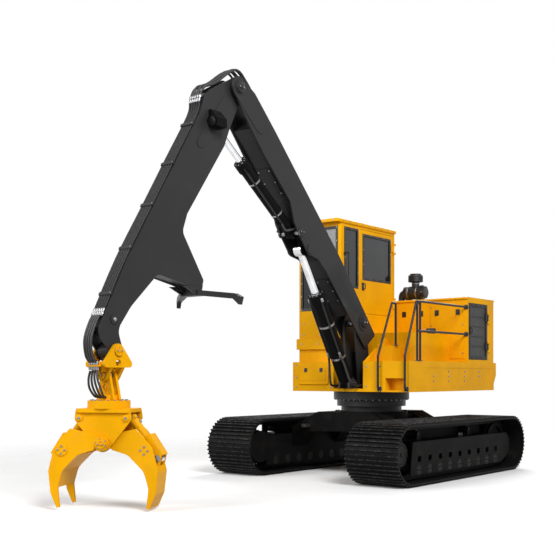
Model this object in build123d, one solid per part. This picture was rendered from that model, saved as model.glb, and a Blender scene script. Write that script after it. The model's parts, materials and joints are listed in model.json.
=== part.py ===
"""Tracked knuckle-boom log loader with a bypass grapple.

Millimetres, +Z up. The origin lies on the ground under the slew axis, +X points
forward along the boom and +Y to the left of the machine. Each node is one STEP file.
"""
import os
from math import atan2, cos, hypot, pi, sin

from build123d import *

# Fits
SEAT = 0.3             # gap between pieces that are bolted or welded face to face
BORE_PLAY = 0.5        # radial play of a bore over its pin
RUN_GAP = 6.0          # gap between pieces that pass each other

# Tracks
TRACK_GAUGE = 2770.0
TRACK_LENGTH = 4380.0
TRACK_HEIGHT = 945.0
SHOE_WIDTH = 915.0
SHOE_COUNT = 48
SHOE_PLATE = 22.0
GROUSER_HEIGHT = 30.0
GROUSER_FOOT = 34.0
GROUSER_TIP = 14.0
GROUSERS_PER_SHOE = 3
LINK_HEIGHT = 80.0
LINK_WIDTH = 46.0
LINK_SPREAD = 170.0    # between the middles of the two rows of links

# Track frames
FRAME_SPREAD = 630.0   # over the outer faces of the two side plates
FRAME_PLATE = 20.0
FRAME_TOP = 650.0
FRAME_DECK = 60.0      # thickness of the frame's top plate
FRAME_BOTTOM = 150.0
FRAME_NOSE = 157.5     # frame's front edge behind the sprocket's axle
FRAME_TAIL = 132.5     # frame's rear edge beyond the idler's axle
FRAME_DECK_SHORT = 427.5  # frame's top plate short of either axle
ROLLER_COUNT = 9
ROLLER_FRONT_REACH = 422.5  # from the sprocket's axle to the first roller
ROLLER_REAR_REACH = 412.5   # from the last roller to the idler's axle
ROLLER_R = 92.0
ROLLER_CAP_R = 78.0
ROLLER_HALF = 120.0
PORT_R = 52.0          # lightening holes above the rollers
PORT_Z = 390.0
CARRIER_FRONT_REACH = 667.5
CARRIER_REAR_REACH = 1097.5
CARRIER_R = 65.0
CARRIER_SHAFT_R = 24.0
SPROCKET_TEETH = 23
SPROCKET_R = 386.0
SPROCKET_ROOT = 345.0
SPROCKET_HALF = 38.0
FINAL_DRIVE_R = 232.0
FINAL_COVER_R = 175.0
IDLER_RIB_R = 378.0
IDLER_HUB_R = 120.0
IDLER_SHAFT_R = 48.0

# Carbody and slew ring
CARBODY_TOP = 1040.0
CARBODY_BOTTOM = 720.0
CARBODY_END_TOP = 870.0
CARBODY_END_BOTTOM = 430.0
CARBODY_KNEE = 860.0   # sideways distance where the beam starts to flare down
BEAM_INNER_X = 400.0
BEAM_OUTER_X = 860.0
RING_FOOT_R = 520.0
RING_RACE_R = 592.0
RING_HOUSE_R = 650.0
RING_BORE_R = 380.0
RING_FOOT_Z = 1132.0
RING_RACE_Z = 1244.0
SLEW_GAP = 0.5
TOW_EYE_R = 30.0
TOW_EYE_PLATE = 50.0
TOW_EYE_Z = 800.0
TOW_EYE_REACH = 75.0

# Deck
DECK_FRONT = 710.0
DECK_REAR = -2345.0
DECK_HALF = 1169.0
DECK_BOTTOM = 1382.0
DECK_TOP = 1885.0
DECK_FLOOR = 50.0
DECK_SKIN = 22.0
WELL_NEAR = 295.0      # side walls of the well that the boom stands in
WELL_FAR = -300.0
WELL_BACK = 180.0
STEP_INSET = 89.0      # step opening in from the deck's side
STEP_FAR = 729.0
STEP_BOTTOM = 1404.0
STEP_TOP = 1607.0
STEP_DEPTH = 170.0
TOOL_FAR = -1000.0
TOOL_NEAR = -420.0
TOOL_BOTTOM = 1521.0
TOOL_TOP = 1796.0
TOOL_LIP = 14.0
TOOL_DOOR = 14.0
GUARD_PLATE = 25.0
GUARD_TOP = 2290.0
GUARD_BACK = 60.0
COUNTERWEIGHT_REAR = -2600.0
COUNTERWEIGHT_HALF = 1120.0
COUNTERWEIGHT_SET_IN = 240.0

# Engine house
HOUSE_FRONT = -1310.0
HOUSE_REAR = -2330.0
HOUSE_TOP = 3005.0
HOUSE_SKIN = 25.0
HOUSE_ROOF = 35.0
ROOF_OVERHANG = 22.0
COOLER_FRONT = -1345.0
COOLER_REAR = -2065.0
COOLER_BOTTOM = 1935.0
COOLER_TOP = 2940.0
COOLER_DOOR = 36.0
COOLER_CORE = 90.0
ENGINE_LENGTH = 620.0
ENGINE_WIDTH = 1150.0
ENGINE_HEIGHT = 760.0
FILTER_X = -1560.0
FILTER_Y = -30.0
FILTER_Z = 3195.0
FILTER_R = 125.0
FILTER_LENGTH = 420.0
CAP_R = 130.0
CAP_HEIGHT = 150.0
CAP_TOP = 3545.0

# Tank and access
TANK_FRONT = 0.0
TANK_NEAR = 800.0
TANK_FAR = -240.0
TANK_TOP = 2380.0
TANK_SKIN = 14.0
STEP_BOX_FRONT = 330.0
STEP_BOX_NEAR = 620.0
STEP_BOX_TOP = 2150.0
RAIL_R = 19.0
RAIL_INSET = 29.0      # walkway rail in from the deck's side
RAIL_TOP = 2860.0
RAIL_MID = 2380.0
RAIL_FRONT = 400.0
RAIL_BEND = 90.0
GRAB_FOOT_Z = 1430.0
GRAB_KNEE_Z = 1960.0
GRAB_BEND = 30.0
GRAB_TOP = 2860.0
GRAB_INNER_LEAN = 330.0
GRAB_OUTER_LEAN = 400.0

# Cab
CAB_FRONT = 550.0
CAB_REAR = -1220.0
CAB_NEAR = -265.0
CAB_FAR = -1169.0
CAB_FLOOR = 2700.0
CAB_TOP = 4275.0
CAB_WALL = 55.0
CAB_ROOF = 55.0
CAB_CORNER = 40.0
ROOF_FRONT = 120.0
ROOF_SIDE = 22.0
RISER_TOP = 2290.0
RISER_LEDGE = 2105.0
RISER_LEDGE_OUT = 55.0
WINDSCREEN_SILL = 2790.0
SIDE_SILL = 3180.0
WINDOW_HEAD = 4200.0
WINDOW_POST = 62.0
PANE = 10.0
DOOR_FRONT = -45.0
DOOR_REAR = -1150.0
DOOR_BOTTOM = 2740.0
DOOR_TOP = 4225.0
DOOR_THICK = 45.0
DOOR_GAP = 6.0
DOOR_SILL = 3345.0
HINGE_R = 12.0         # knuckles of the cab and cooler doors
HINGE_HALF = 60.0
HINGE_FIXED = 40.0
HINGE_LEAF = 80.0
HINGE_INSET = 240.0    # from the door's end to the middle of a hinge
SEAT_X = -560.0
SEAT_HALF = 260.0
SEAT_BASE_HALF = 180.0
SEAT_BASE_TOP = 300.0  # heights over the cab floor
SEAT_CUSHION_TOP = 430.0
SEAT_BACK_FOOT = 380.0
SEAT_BACK_TOP = 1120.0
SEAT_BACK_LEAN = 100.0
SEAT_BACK_THICK = 110.0
SEAT_FRONT = 270.0     # distances from the seat's middle
SEAT_REAR = 310.0
POD_SIDE = 330.0
POD_HALF = 55.0
POD_REAR = 60.0
POD_FRONT = 390.0
POD_TOP = 560.0
POD_SLOPE = 430.0
LEVER_X = 320.0
LEVER_R = 14.0
LEVER_TOP = 700.0
KNOB_R = 34.0

# Boom
BOOM_WIDTH = 380.0
BOOM_PLATE = 25.0
BOOM_SKIN = 16.0
FOOT_X = 540.0
FOOT_Z = 2535.0
TIP_X = 3700.0
TIP_Z = 5712.0
BOOM_ABOVE = 250.0     # top edge above the line through both pivots, mid-length
BOOM_BELOW = 200.0
FOOT_HEEL = 400.0      # side plates behind the foot pivot
TIP_BOSS_R = 152.0
FOOT_CLEAR = 330.0     # free length inside the foot fork
TIP_CLEAR = 560.0      # free length inside the tip fork
PIN_R = 60.0
MAST_HALF = 140.0
MAST_PLATE = 45.0
MAST_TOP_R = 160.0
MAST_REAR = 220.0
MAST_FRONT = 560.0
BELLY_DROP = 175.0     # belly bracket below the boom's underside
BELLY_START = 1640.0   # along the boom from the foot pivot
BELLY_END = 2640.0
BOX_BOTTOM = 188.0     # box's lower skin, below the line through both pivots
NICHE_TOP = 112.0      # the same over the lift cylinder's eye
NICHE_START = 1600.0
NICHE_END = 2040.0
BASE_PIN_R = 40.0
BOSS = 14.0            # round bosses on the side plates

# Lift cylinder
LIFT_BASE_X = 746.0
LIFT_BASE_Z = 1538.0
LIFT_EYE_ALONG = 1816.5  # along the boom from the foot pivot
LIFT_EYE_DROP = 301.9    # below the line through both pivots
LIFT_BARREL_R = 125.0
LIFT_ROD_R = 62.0
LIFT_GLAND = 1664.0
LIFT_EYE_R = 95.0
LIFT_RETRACT = 640.0   # travel left for the rod to go in
LUG_R = 85.0
LUG_PLATE = 34.0

# Stick cylinder
CROWD_BASE_ALONG = 2147.4
CROWD_BASE_DROP = 301.3
CROWD_EYE_ALONG = 660.1  # along the stick from its head pivot
CROWD_EYE_BACK = 48.3    # behind the line through both pins
CROWD_BARREL_R = 92.0
CROWD_ROD_R = 48.0
CROWD_GLAND = 1490.0
CROWD_EYE_R = 82.0
CROWD_RETRACT = 340.0
CYLINDER_EYE_HALF = 70.0

# Stick
STICK_WIDTH = 250.0
STICK_PLATE = 22.0
STICK_SKIN = 14.0
STICK_END_X = 5938.0
STICK_END_Z = 1950.0
STICK_END_R = 118.0
STICK_PIN_R = 44.0
STICK_HUB_R = 150.0
STICK_FRONT = 385.0    # front edge ahead of the line through both pins
STICK_REAR = 130.0
HEEL_REACH = 880.0     # heel behind the line through both pins
HEEL_BAR_HALF = 600.0
HEEL_BAR_DROP = 120.0
HEEL_BAR_THICK = 75.0
HEEL_BAR_SWEEP = 340.0  # ends of the bar behind its middle
HEEL_BAR_DEPTH = 130.0
HEEL_EAR = 18.0

# Grapple hanger
LINK_EAR = 42.0
LINK_HEAD_R = 88.0
LINK_DROP = 297.0      # between the two crossed pins
LINK_PIN_R = 42.0
LINK_WAIST_Z = 1790.0  # where the crossed plates are widest
LINK_WAIST_HALF = 225.0
LINK_WAIST_R = 45.0
LINK_HOLE_R = 62.0
LINK_FOOT_R = 80.0
KNUCKLE_HALF = 66.0
YOKE_PLATE = 36.0
YOKE_FOOT_HALF = 150.0
YOKE_HOLE_R = 48.0
ROTATOR_TOP = 1340.0
ROTATOR_BOTTOM = 1244.0
ROTATOR_R = 263.0
ROTATOR_MOTOR_R = 120.0
ROTATOR_MOTOR = 70.0
ROTATOR_GAP = 0.5

# Grapple
GRAPPLE_TURN = 27.0    # degrees from +X to the jaw pin, about the rotator axis
HEAD_WIDTH = 700.0
HEAD_PLATE = 46.0
HEAD_LIP = 30.0        # top plate beyond the cheeks
CHEEK_SPREAD = 420.0   # over the two cheek plates
CHEEK_PLATE = 30.0
CHEEK_FOOT_R = 100.0
CHEEK_SHOULDER_R = 62.0
JAW_PIVOT_U = 0.0
JAW_PIVOT_Z = 816.0
JAW_PIN_R = 44.0
JAW_BOSS_R = 92.0
JAW_BOSS = 12.0
TINE_PLATE = 36.0
TINE_WEB = 20.0
TINE_DOUBLER_R = 72.0
TINE_DOUBLER = 10.0
RAM_BASE_U = 300.0
RAM_BASE_Z = 1130.0
RAM_EYE_U = 655.0
RAM_EYE_Z = 640.0
RAM_BARREL_R = 58.0
RAM_ROD_R = 32.0
RAM_GLAND = 440.0
RAM_EYE_R = 52.0
RAM_EYE_HALF = 52.0
RAM_PIN_R = 28.0
RAM_RETRACT = 98.0
GLAND_WALL = 16.0      # gland's radius beyond the barrel
LUG_SIDE = 20.0        # thickness of the side plates beside a ram

# Edges of a jaw from its pin, as rows of out and up
JAW_BACK = ((30.0, 93.0), (160.0, 131.0), (410.0, 184.0), (612.0, -40.0), (690.0, -336.0), (660.0, -606.0),
            (580.0, -784.0))
JAW_FRONT = ((545.0, -776.0), (570.0, -536.0), (510.0, -332.0), (304.0, -131.0), (105.0, -74.0))

TRACK_Y = TRACK_GAUGE / 2

boom_angle = atan2(TIP_Z - FOOT_Z, TIP_X - FOOT_X)
boom_length = hypot(TIP_X - FOOT_X, TIP_Z - FOOT_Z)


def block(x0, x1, y0, y1, z0, z1):
    """Box between two corners."""
    middle = ((x0 + x1) / 2, (y0 + y1) / 2, (z0 + z1) / 2)
    return Pos(*middle) * Box(abs(x1 - x0), abs(y1 - y0), abs(z1 - z0))


def upright(outline, y0, y1):
    """Outline drawn in X and Z, extruded from y0 to y1."""
    plane = Plane(origin=(0, max(y0, y1), 0), x_dir=(1, 0, 0), z_dir=(0, -1, 0))
    return extrude(plane * outline, amount=abs(y1 - y0))


def crosswise(outline, x0, x1):
    """Outline drawn in Y and Z, extruded from x0 to x1."""
    plane = Plane(origin=(min(x0, x1), 0, 0), x_dir=(0, 1, 0), z_dir=(1, 0, 0))
    return extrude(plane * outline, amount=abs(x1 - x0))


def shape(*points):
    return make_face(Polyline(*points, close=True))


def rounded(face, corners):
    """Face with its corners nearest to points rounded, from rows of point and radius."""
    for point, radius in corners:
        face = fillet(face.vertices().sort_by_distance(Vector(*point))[0], radius)
    return face


def between(start, end, share):
    return tuple(a + (b - a) * share for a, b in zip(start, end))


def strip(points, thick):
    """Plate outline of even thickness along points, on their left."""
    line = [Vector(*point) for point in points]
    edge = []
    for index, point in enumerate(line):
        way = (line[min(index + 1, len(line) - 1)] - line[max(index - 1, 0)]).normalized()
        edge.append(point + Vector(-way.Y, way.X) * thick)
    return shape(*[(point.X, point.Y) for point in line + edge[::-1]])


def disc(x, y, radius):
    return Pos(x, y) * Circle(radius)


def hull(*circles):
    """Outline of a belt around circles given as (x, y, radius)."""
    rims = [edge for x, y, radius in circles for edge in disc(x, y, radius).edges()]
    return make_hull(rims)


def round_y(x, z, radius, y0, y1):
    return upright(disc(x, z, radius), y0, y1)


def round_x(y, z, radius, x0, x1):
    return crosswise(disc(y, z, radius), x0, x1)


def round_z(x, y, radius, z0, z1):
    return extrude(Pos(x, y, min(z0, z1)) * Circle(radius), amount=abs(z1 - z0))


def along(start, end, radius, begin, stop):
    """Round bar on the line from start to end, between two distances from start."""
    line = Vector(*end) - Vector(*start)
    base = Vector(*start) + line.normalized() * begin
    return extrude(Plane(origin=base, z_dir=line) * Circle(radius), amount=stop - begin)


def tube(points, radius, bend):
    """Round tube along points, with its corners bent."""
    path = FilletPolyline(*points, radius=bend) if len(points) > 2 else Line(*points)
    start = Plane(origin=path @ 0, z_dir=path % 0)
    return sweep(start * Circle(radius), path=path)


def moving_knuckle(x, y, wall, z):
    """Hinge knuckle on a door, with its leaf ahead of the axis."""
    return (round_z(x, y, HINGE_R, z - HINGE_HALF, z + HINGE_HALF)
            + block(x, x + HINGE_LEAF, wall, y, z - HINGE_HALF, z + HINGE_HALF))


def fixed_knuckles(x, y, wall, z):
    """Hinge knuckles above and below a door's one, with a leaf behind the axis."""
    pair = []
    for way in (-1, 1):
        low = z + way * (HINGE_HALF + SEAT)
        high = low + way * HINGE_FIXED
        pair.append(round_z(x, y, HINGE_R, low, high) + block(x - HINGE_LEAF, x, wall, y, low, high))
    return pair


# Tracks

def on_loop(distance, height):
    """Point on the track loop, at a height over the shoe plates."""
    radius = TRACK_HEIGHT / 2 - GROUSER_HEIGHT
    straight = TRACK_LENGTH - TRACK_HEIGHT
    turn = pi * radius
    distance %= 2 * (straight + turn)
    if distance < straight:
        return straight / 2 - distance, -radius - height
    distance -= straight
    if distance < turn:
        angle = -pi / 2 - distance / radius
        return -straight / 2 + (radius + height) * cos(angle), (radius + height) * sin(angle)
    distance -= turn
    if distance < straight:
        return distance - straight / 2, radius + height
    angle = pi / 2 - (distance - straight) / radius
    return straight / 2 + (radius + height) * cos(angle), (radius + height) * sin(angle)


def loop_face(inset):
    """Long round face inside the shoe plates."""
    height = TRACK_HEIGHT - 2 * (GROUSER_HEIGHT + inset)
    return SlotOverall(TRACK_LENGTH - 2 * (GROUSER_HEIGHT + inset), height)


def track_loop(y):
    radius = TRACK_HEIGHT / 2 - GROUSER_HEIGHT
    length = 2 * (TRACK_LENGTH - TRACK_HEIGHT) + 2 * pi * radius
    pitch = length / (SHOE_COUNT * GROUSERS_PER_SHOE)
    rim = []
    for index in range(SHOE_COUNT * GROUSERS_PER_SHOE):
        middle = (index + 0.5) * pitch
        for step, height in ((-GROUSER_FOOT, 0), (-GROUSER_TIP, GROUSER_HEIGHT),
                             (GROUSER_TIP, GROUSER_HEIGHT), (GROUSER_FOOT, 0)):
            rim.append(on_loop(middle + step / 2, height))
    shoes = shape(*rim) - loop_face(SHOE_PLATE)
    links = loop_face(SHOE_PLATE) - loop_face(SHOE_PLATE + LINK_HEIGHT)
    lift = Pos(0, TRACK_HEIGHT / 2)
    loop = upright(lift * shoes, y - SHOE_WIDTH / 2, y + SHOE_WIDTH / 2)
    for row in (-1, 1):
        middle = y + row * LINK_SPREAD / 2
        loop += upright(lift * links, middle - LINK_WIDTH / 2, middle + LINK_WIDTH / 2)
    return loop


wheel_z = TRACK_HEIGHT / 2
wheel_x = (TRACK_LENGTH - TRACK_HEIGHT) / 2
rail_inset = GROUSER_HEIGHT + SHOE_PLATE + LINK_HEIGHT
wheel_r = TRACK_HEIGHT / 2 - rail_inset
roller_z = rail_inset + ROLLER_R + SEAT
carrier_z = TRACK_HEIGHT - rail_inset - CARRIER_R - SEAT
plate_inside = FRAME_SPREAD / 2 - FRAME_PLATE
roller_first = wheel_x - ROLLER_FRONT_REACH
roller_pitch = (roller_first + wheel_x - ROLLER_REAR_REACH) / (ROLLER_COUNT - 1)
roller_xs = [roller_first - roller_pitch * index for index in range(ROLLER_COUNT)]
carrier_xs = (wheel_x - CARRIER_FRONT_REACH, CARRIER_REAR_REACH - wheel_x)


def track_frame(side):
    """Twin side plates under a top plate, with pedestals for the carrier rollers."""
    y = side * TRACK_Y
    outer = side * FRAME_SPREAD / 2
    nose = wheel_x - FRAME_NOSE
    tail = -wheel_x - FRAME_TAIL
    deck_reach = wheel_x - FRAME_DECK_SHORT
    plate = shape((nose, FRAME_BOTTOM), (nose - 70, FRAME_TOP), (tail + 120, FRAME_TOP),
                  (tail, FRAME_TOP - 110), (tail, FRAME_BOTTOM + 160), (tail + 330, FRAME_BOTTOM))
    inner_plate = plate + hull((wheel_x, wheel_z, FINAL_DRIVE_R + 30), (nose - 240, wheel_z, 175))
    for x in roller_xs:
        plate -= disc(x, roller_z, ROLLER_CAP_R + SEAT)
        plate -= Pos(x, PORT_Z) * RectangleRounded(2 * PORT_R, 1.7 * PORT_R, 0.5 * PORT_R)
        inner_plate -= disc(x, roller_z, ROLLER_CAP_R + SEAT)
    frame = upright(plate, y + outer, y + outer - side * FRAME_PLATE)
    frame += upright(inner_plate, y - outer, y - outer + side * FRAME_PLATE)
    frame += block(-deck_reach, deck_reach, y - plate_inside, y + plate_inside, FRAME_TOP - FRAME_DECK,
                   FRAME_TOP)
    for x in carrier_xs:
        cheek = hull((x, carrier_z, 2 * CARRIER_SHAFT_R), (x - 55, FRAME_TOP, 12), (x + 55, FRAME_TOP, 12))
        cheek -= disc(x, carrier_z, CARRIER_SHAFT_R + SEAT)
        for row in (-1, 1):
            foot = y + row * (ROLLER_HALF + RUN_GAP + 15)
            frame += upright(cheek, foot - 15, foot + 15)
    return frame


def bottom_roller(x, y):
    """Twin-tread roller whose end caps sit in the side plates."""
    roller = round_y(x, roller_z, ROLLER_R, y - ROLLER_HALF, y + ROLLER_HALF)
    groove = round_y(x, roller_z, ROLLER_R + 5, y - 34, y + 34)
    roller -= groove - round_y(x, roller_z, 0.75 * ROLLER_R, y - 34, y + 34)
    return roller + round_y(x, roller_z, ROLLER_CAP_R, y - FRAME_SPREAD / 2 + 4, y + FRAME_SPREAD / 2 - 4)


def carrier_roller(x, y):
    reach = ROLLER_HALF + RUN_GAP + 30
    return (round_y(x, carrier_z, CARRIER_R, y - ROLLER_HALF, y + ROLLER_HALF)
            + round_y(x, carrier_z, CARRIER_SHAFT_R, y - reach, y + reach))


def sprocket(side):
    """Toothed ring on a stepped final drive that bolts to the inner side plate."""
    y = side * TRACK_Y
    rim = []
    for index in range(2 * SPROCKET_TEETH):
        radius = SPROCKET_R if index % 2 == 0 else SPROCKET_ROOT
        for shift in (-0.22, 0.22):
            angle = pi * (index + shift) / SPROCKET_TEETH
            rim.append((wheel_x + radius * cos(angle), wheel_z + radius * sin(angle)))
    wheel = upright(shape(*rim), y - SPROCKET_HALF, y + SPROCKET_HALF)
    wheel += round_y(wheel_x, wheel_z, FINAL_DRIVE_R, y - side * (plate_inside - SEAT), y + side * 190)
    return wheel + round_y(wheel_x, wheel_z, FINAL_COVER_R, y + side * 190, y + side * 255)


def idler(side):
    """Plain wheel with a guide rib between the links, on a fixed shaft."""
    y = side * TRACK_Y
    half = LINK_SPREAD / 2 + LINK_WIDTH / 2 + 8
    rib = LINK_SPREAD / 2 - LINK_WIDTH / 2 - 8
    wheel = round_y(-wheel_x, wheel_z, wheel_r - SEAT, y - half, y + half)
    for row in (-1, 1):
        dish = round_y(-wheel_x, wheel_z, wheel_r - 55, y + row * half, y + row * (half - 55))
        wheel -= dish - round_y(-wheel_x, wheel_z, IDLER_HUB_R, y + row * half, y + row * (half - 55))
    wheel += round_y(-wheel_x, wheel_z, IDLER_RIB_R, y - rib, y + rib)
    return wheel + round_y(-wheel_x, wheel_z, IDLER_SHAFT_R, y - plate_inside + SEAT, y + plate_inside - SEAT)


def carbody():
    """Two flared cross beams joined by a centre box under the slew ring."""
    end = TRACK_Y - FRAME_SPREAD / 2 - SEAT
    half = [(0, CARBODY_TOP), (RING_FOOT_R, CARBODY_TOP), (CARBODY_KNEE, CARBODY_END_TOP),
            (end, CARBODY_END_TOP - 90), (end, CARBODY_END_BOTTOM), (CARBODY_KNEE, CARBODY_BOTTOM - 25),
            (0, CARBODY_BOTTOM)]
    beam = shape(*half)
    beam += mirror(beam, Plane.YZ)
    body = block(-BEAM_INNER_X - 10, BEAM_INNER_X + 10, -RING_RACE_R, RING_RACE_R, CARBODY_BOTTOM,
                 CARBODY_TOP - 40)
    for way in (-1, 1):
        body += crosswise(beam, way * BEAM_INNER_X, way * BEAM_OUTER_X)
    body += round_z(0, 0, RING_RACE_R + 40, CARBODY_BOTTOM, CARBODY_TOP)
    return body - round_z(0, 0, RING_BORE_R, CARBODY_BOTTOM - 50, CARBODY_TOP + 5)


def tow_eye(side):
    """Tie-down eye on the front cross beam, its bore upright."""
    y = side * (CARBODY_KNEE - 120)
    face = BEAM_OUTER_X + SEAT
    x = face + TOW_EYE_REACH
    eye = hull((x, y, 2 * TOW_EYE_R), (face + 8, y + 60, 8), (face + 8, y - 60, 8))
    eye -= disc(x, y, TOW_EYE_R)
    return extrude(Pos(0, 0, TOW_EYE_Z - TOW_EYE_PLATE / 2) * eye, amount=TOW_EYE_PLATE)


def slew_ring():
    ring = round_z(0, 0, RING_FOOT_R, CARBODY_TOP + SEAT, RING_FOOT_Z)
    ring += round_z(0, 0, RING_RACE_R, RING_FOOT_Z, RING_RACE_Z)
    return ring - round_z(0, 0, RING_BORE_R, CARBODY_TOP, RING_RACE_Z + 5)


def house_ring():
    ring = round_z(0, 0, RING_HOUSE_R, RING_RACE_Z + SLEW_GAP, DECK_BOTTOM - SEAT)
    return ring - round_z(0, 0, RING_BORE_R, RING_RACE_Z, DECK_BOTTOM)


# House

def deck():
    """Hollow platform with a well for the boom, a step and a tool locker at the front."""
    floor = DECK_BOTTOM + DECK_FLOOR
    ceiling = DECK_TOP - DECK_SKIN
    inner = DECK_HALF - DECK_SKIN
    body = block(DECK_REAR, DECK_FRONT, -DECK_HALF, DECK_HALF, DECK_BOTTOM, DECK_TOP)
    body -= block(DECK_REAR + DECK_SKIN, WELL_BACK - DECK_SKIN, -inner, inner, floor, ceiling)
    body -= block(WELL_BACK, DECK_FRONT + 5, WELL_FAR, WELL_NEAR, floor, DECK_TOP + 5)
    body -= block(WELL_BACK, DECK_FRONT - STEP_DEPTH - DECK_SKIN, WELL_NEAR + DECK_SKIN, inner, floor,
                  ceiling)
    body -= block(WELL_BACK, DECK_FRONT - DECK_SKIN, -inner, WELL_FAR - DECK_SKIN, floor, ceiling)
    body -= block(DECK_FRONT - STEP_DEPTH, DECK_FRONT + 5, STEP_FAR, DECK_HALF - STEP_INSET, STEP_BOTTOM,
                  STEP_TOP)
    body -= block(DECK_FRONT - DECK_SKIN - 5, DECK_FRONT + 5, TOOL_FAR, TOOL_NEAR, TOOL_BOTTOM, TOOL_TOP)
    low = DECK_BOTTOM + 118
    high = DECK_TOP - 105
    side_cut = shape((DECK_REAR + 250, low), (WELL_BACK + 140, low), (WELL_BACK + 60, high),
                     (DECK_REAR + 170, high))
    for side in (-1, 1):
        body -= upright(side_cut, side * (DECK_HALF - 6), side * (DECK_HALF + 5))
    guard = shape((DECK_FRONT - 10, DECK_TOP - 5), (GUARD_BACK, GUARD_TOP), (TANK_FRONT + SEAT, GUARD_TOP),
                  (TANK_FRONT + SEAT, DECK_TOP - 5))
    return body + upright(guard, WELL_NEAR, WELL_NEAR + GUARD_PLATE)


def tool_door():
    """Flap over the tool locker, on a long hinge along its lower edge."""
    face = DECK_FRONT + SEAT + TOOL_DOOR
    foot = TOOL_BOTTOM - TOOL_LIP
    flap = block(DECK_FRONT + SEAT, face, TOOL_FAR - TOOL_LIP, TOOL_NEAR + TOOL_LIP, foot,
                 TOOL_TOP + TOOL_LIP)
    flap = fillet(flap.edges().filter_by(Axis.X).group_by(Axis.Z)[-1], TOOL_LIP)
    return flap + round_y(face, foot, HINGE_R, TOOL_FAR, TOOL_NEAR)


def mast():
    """Twin plates that carry the boom foot, with the lift cylinder's lugs ahead."""
    floor = DECK_BOTTOM + DECK_FLOOR + SEAT
    web = hull((FOOT_X, FOOT_Z, MAST_TOP_R), (MAST_FRONT - 20, floor + 20, 20),
               (MAST_REAR + 20, floor + 20, 20))
    web -= disc(FOOT_X, FOOT_Z, PIN_R + SEAT)
    lug = hull((LIFT_BASE_X, LIFT_BASE_Z, LUG_R), (MAST_FRONT - 30, floor + 20, 20),
               (LIFT_BASE_X + LUG_R, floor + 10, 10))
    lug -= disc(LIFT_BASE_X, LIFT_BASE_Z, BASE_PIN_R + SEAT)
    stand = block(MAST_REAR + 120, MAST_REAR + 160, -MAST_HALF, MAST_HALF, floor, floor + 620)
    stand += block(MAST_REAR, MAST_FRONT, -MAST_HALF, MAST_HALF, floor, floor + 24)
    lug_in = CYLINDER_EYE_HALF + RUN_GAP
    for side in (-1, 1):
        stand += upright(web, side * MAST_HALF, side * (MAST_HALF - MAST_PLATE))
        stand += upright(lug, side * lug_in, side * (lug_in + LUG_PLATE))
    return stand


def counterweight():
    profile = shape((DECK_REAR - SEAT, DECK_BOTTOM + 20), (DECK_REAR - SEAT, DECK_TOP),
                    (COUNTERWEIGHT_REAR, DECK_TOP), (COUNTERWEIGHT_REAR, DECK_TOP - 130),
                    (COUNTERWEIGHT_REAR + COUNTERWEIGHT_SET_IN - 30, DECK_BOTTOM + 20))
    weight = upright(profile, -COUNTERWEIGHT_HALF, COUNTERWEIGHT_HALF)
    return chamfer(weight.edges().filter_by(Axis.Z).group_by(Axis.X)[0], 60)


cooler_hinge_y = DECK_HALF - HOUSE_SKIN + COOLER_DOOR + HINGE_R + SEAT


def engine_house():
    """Sheet housing across the rear, open at the cooler."""
    base = DECK_TOP + SEAT
    body = block(HOUSE_REAR, HOUSE_FRONT, -DECK_HALF, DECK_HALF, base, HOUSE_TOP)
    body -= block(HOUSE_REAR + HOUSE_SKIN, HOUSE_FRONT - HOUSE_SKIN, -DECK_HALF + HOUSE_SKIN,
                  DECK_HALF - HOUSE_SKIN, base - 5, HOUSE_TOP + 5)
    body -= block(COOLER_REAR, COOLER_FRONT, DECK_HALF - HOUSE_SKIN - 5, DECK_HALF + 5, COOLER_BOTTOM,
                  COOLER_TOP)
    for z in (COOLER_BOTTOM + HINGE_INSET, COOLER_TOP - HINGE_INSET):
        for knuckle in fixed_knuckles(COOLER_REAR + DOOR_GAP, cooler_hinge_y, DECK_HALF - 2, z):
            body += knuckle
    return body


def engine_roof():
    roof = block(HOUSE_REAR - ROOF_OVERHANG, HOUSE_FRONT + ROOF_OVERHANG, -DECK_HALF, DECK_HALF,
                 HOUSE_TOP + SEAT, HOUSE_TOP + HOUSE_ROOF)
    return fillet(roof.edges().filter_by(Axis.Y).group_by(Axis.Z)[-1], HOUSE_ROOF * 0.6)


def cooler_door():
    """Framed screen door over the cooler."""
    clear = DOOR_GAP
    y0 = DECK_HALF - HOUSE_SKIN
    frame = shape((COOLER_REAR + clear, COOLER_BOTTOM + clear), (COOLER_FRONT - clear, COOLER_BOTTOM + clear),
                  (COOLER_FRONT - clear, COOLER_TOP - clear), (COOLER_REAR + clear, COOLER_TOP - clear))
    door = upright(frame, y0, y0 + COOLER_DOOR)
    field = offset(frame, -55)
    door -= upright(field, y0 + 12, y0 + COOLER_DOOR + 5)
    for z in (COOLER_BOTTOM + HINGE_INSET, COOLER_TOP - HINGE_INSET):
        door += moving_knuckle(COOLER_REAR + clear, cooler_hinge_y, y0 + 20, z)
    return door


def cooler_core():
    face = DECK_HALF - HOUSE_SKIN - SEAT - 30
    return block(COOLER_REAR - 10, COOLER_FRONT + 10 - HOUSE_SKIN, face - COOLER_CORE, face, DECK_TOP + SEAT,
                 COOLER_TOP + 20)


def engine():
    x = (HOUSE_FRONT + HOUSE_REAR) / 2
    core = block(x - ENGINE_LENGTH / 2, x + ENGINE_LENGTH / 2, -ENGINE_WIDTH / 2, ENGINE_WIDTH / 2,
                 DECK_TOP + SEAT, DECK_TOP + SEAT + ENGINE_HEIGHT)
    return chamfer(core.edges().group_by(Axis.Z)[-1], 60)


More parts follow.
